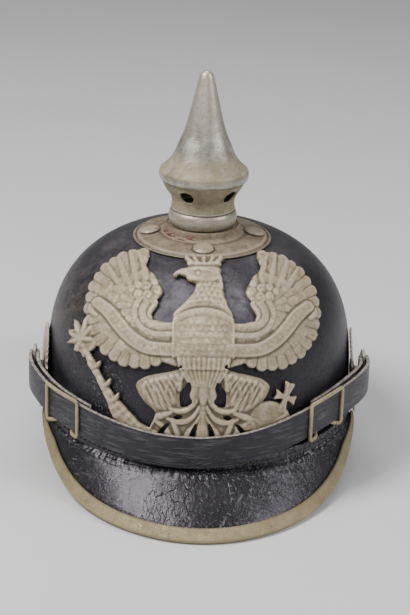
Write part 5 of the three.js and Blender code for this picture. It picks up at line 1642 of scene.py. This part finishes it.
def cockade_paint(name, hand):
    """Rings of old enamel about the post: pale rim, rusty red field and a pale middle, with
    painted shade between the teeth.
    """
    material, tree, shader = new_material(name, IOR=1.5)
    centre = (hand * COCKADE["x"] * MM, (POST["y"] + SPIKE_AXIS_Y) * MM, POST["z"] * MM)
    apart = put(tree, "VectorMath", {0: object_place(tree), 1: centre}, operation="DISTANCE")
    wear = worn_steel(tree, 110.0, 0.52, 1200.0)
    loose = sum_of(tree, (apart.outputs["Value"], 1.0), (wear["Tone"], 0.0016))
    colour = ramp(tree, span(tree, loose, 0.0, 0.028),
                  [(0.30, (0.42, 0.37, 0.31)), (0.36, (0.26, 0.13, 0.10)),
                   (0.62, (0.32, 0.18, 0.15)), (0.68, (0.46, 0.33, 0.28)),
                   (0.85, (0.44, 0.32, 0.27)), (0.92, (0.55, 0.46, 0.40))])
    # Painted shade in the gaps between the teeth.
    tooth_gap_shade = span(tree, crest_of(tree), 0.4, 0.1, 0.0, 0.9)
    colour = mix(tree, tooth_gap_shade, colour, (0.03, 0.025, 0.025))
    colour = mix(tree, wear["Rubbed"], colour, (0.52, 0.45, 0.40), 0.5)
    colour = mix(tree, wear["Speckle"], colour, (0.06, 0.04, 0.03), 0.5)
    dress(tree, shader, Base_Color=colour, Metallic=times(tree, wear["Rubbed"], 0.4),
          Roughness=span(tree, wear["Tone"], 0, 1, 0.45, 0.7))
    bump(tree, shader, sum_of(tree, (wear["Tone"], 0.5), (wear["Speckle"], -0.3)), 0.0003, 0.5)
    return material


for name, hand in (("left", -1), ("right", 1)):
    disc = add_worn_and_shaded("cockade_disc_" + name, *cockade_mesh(hand),
                    cockade_paint("cockade_paint_" + name, hand), "cockade_" + name)
    thicken(disc, COCKADE["sheet"])

# ---- Stage, lights and camera ---------------------------------------------------------------
# A wide plain pale floor, a soft lamp high on the left, a weaker one on the right, one above and
# a low fill from the front.


def stage_floor():
    """A square floor, very faintly clouded."""
    material, tree, shader = new_material("plain_floor", Roughness=0.9)
    cloud = noise(tree, object_place(tree), 3.0, 3.0)
    dress(tree, shader, Base_Color=ramp(tree, cloud, [(0.3, (0.60, 0.60, 0.61)),
                                                      (0.7, (0.63, 0.63, 0.64))]))
    mesh = bpy.data.meshes.new("floor")
    mesh.from_pydata([(x, y, 0) for x, y in ((-8, -8), (8, -8), (8, 8), (-8, 8))], [],
                     [(0, 1, 2, 3)])
    mesh.materials.append(material)
    floor = bpy.data.objects.new("floor", mesh)
    bpy.context.scene.collection.objects.link(floor)


def soft_lamp(name, place, towards, size, power, colour=(1, 1, 1)):
    """A rectangular lamp in metres and watts that looks towards a point."""
    lamp = bpy.data.lights.new(name, "AREA")
    lamp.shape = "RECTANGLE"
    lamp.size, lamp.size_y = size
    lamp.energy = power
    lamp.color = colour
    made = bpy.data.objects.new(name, lamp)
    made.location = place
    made.rotation_euler = (Vector(towards) - Vector(place)).to_track_quat("-Z", "Y").to_euler()
    bpy.context.scene.collection.objects.link(made)


stage_floor()
soft_lamp("key", (-0.85, -0.35, 1.35), (0, 0, 0.1), (0.6, 0.6), 30, (1, 0.985, 0.96))
soft_lamp("side", (1.05, -0.4, 0.85), (0, 0, 0.1), (0.4, 0.7), 9)
soft_lamp("top", (0.1, 0.4, 1.5), (0, 0, 0.1), (0.9, 0.7), 8)
soft_lamp("front_fill", (-0.2, -1.7, 0.6), (0, 0, 0.06), (1.2, 0.6), 4)
world = bpy.data.worlds.new("studio")
world.use_nodes = True
world.node_tree.nodes["Background"].inputs["Color"].default_value = (0.77, 0.765, 0.76, 1)
world.node_tree.nodes["Background"].inputs["Strength"].default_value = 0.24
bpy.context.scene.world = world

CAMERA = dict(azimuth=-2.0, elevation=21.5, distance=1150.0, aim=(3.2, 0.0, 85.8), lens=108.2,
              lean=1.8)
azimuth, elevation = math.radians(CAMERA["azimuth"]), math.radians(CAMERA["elevation"])
back = Vector((math.sin(azimuth) * math.cos(elevation), -math.cos(azimuth) * math.cos(elevation),
               math.sin(elevation)))
aim = (Vector(CAMERA["aim"]) + Vector((0, SPIKE_AXIS_Y, 0))) * MM
camera_data = bpy.data.cameras.new("camera")
camera_data.lens = CAMERA["lens"]
camera = bpy.data.objects.new("camera", camera_data)
camera.location = aim + back * CAMERA["distance"] * MM
level = (-back).to_track_quat("-Z", "Y").to_matrix().to_4x4()
camera.rotation_euler = (level @ Matrix.Rotation(math.radians(CAMERA["lean"]), 4, "Z")).to_euler()
bpy.context.scene.collection.objects.link(camera)
bpy.context.scene.camera = camera
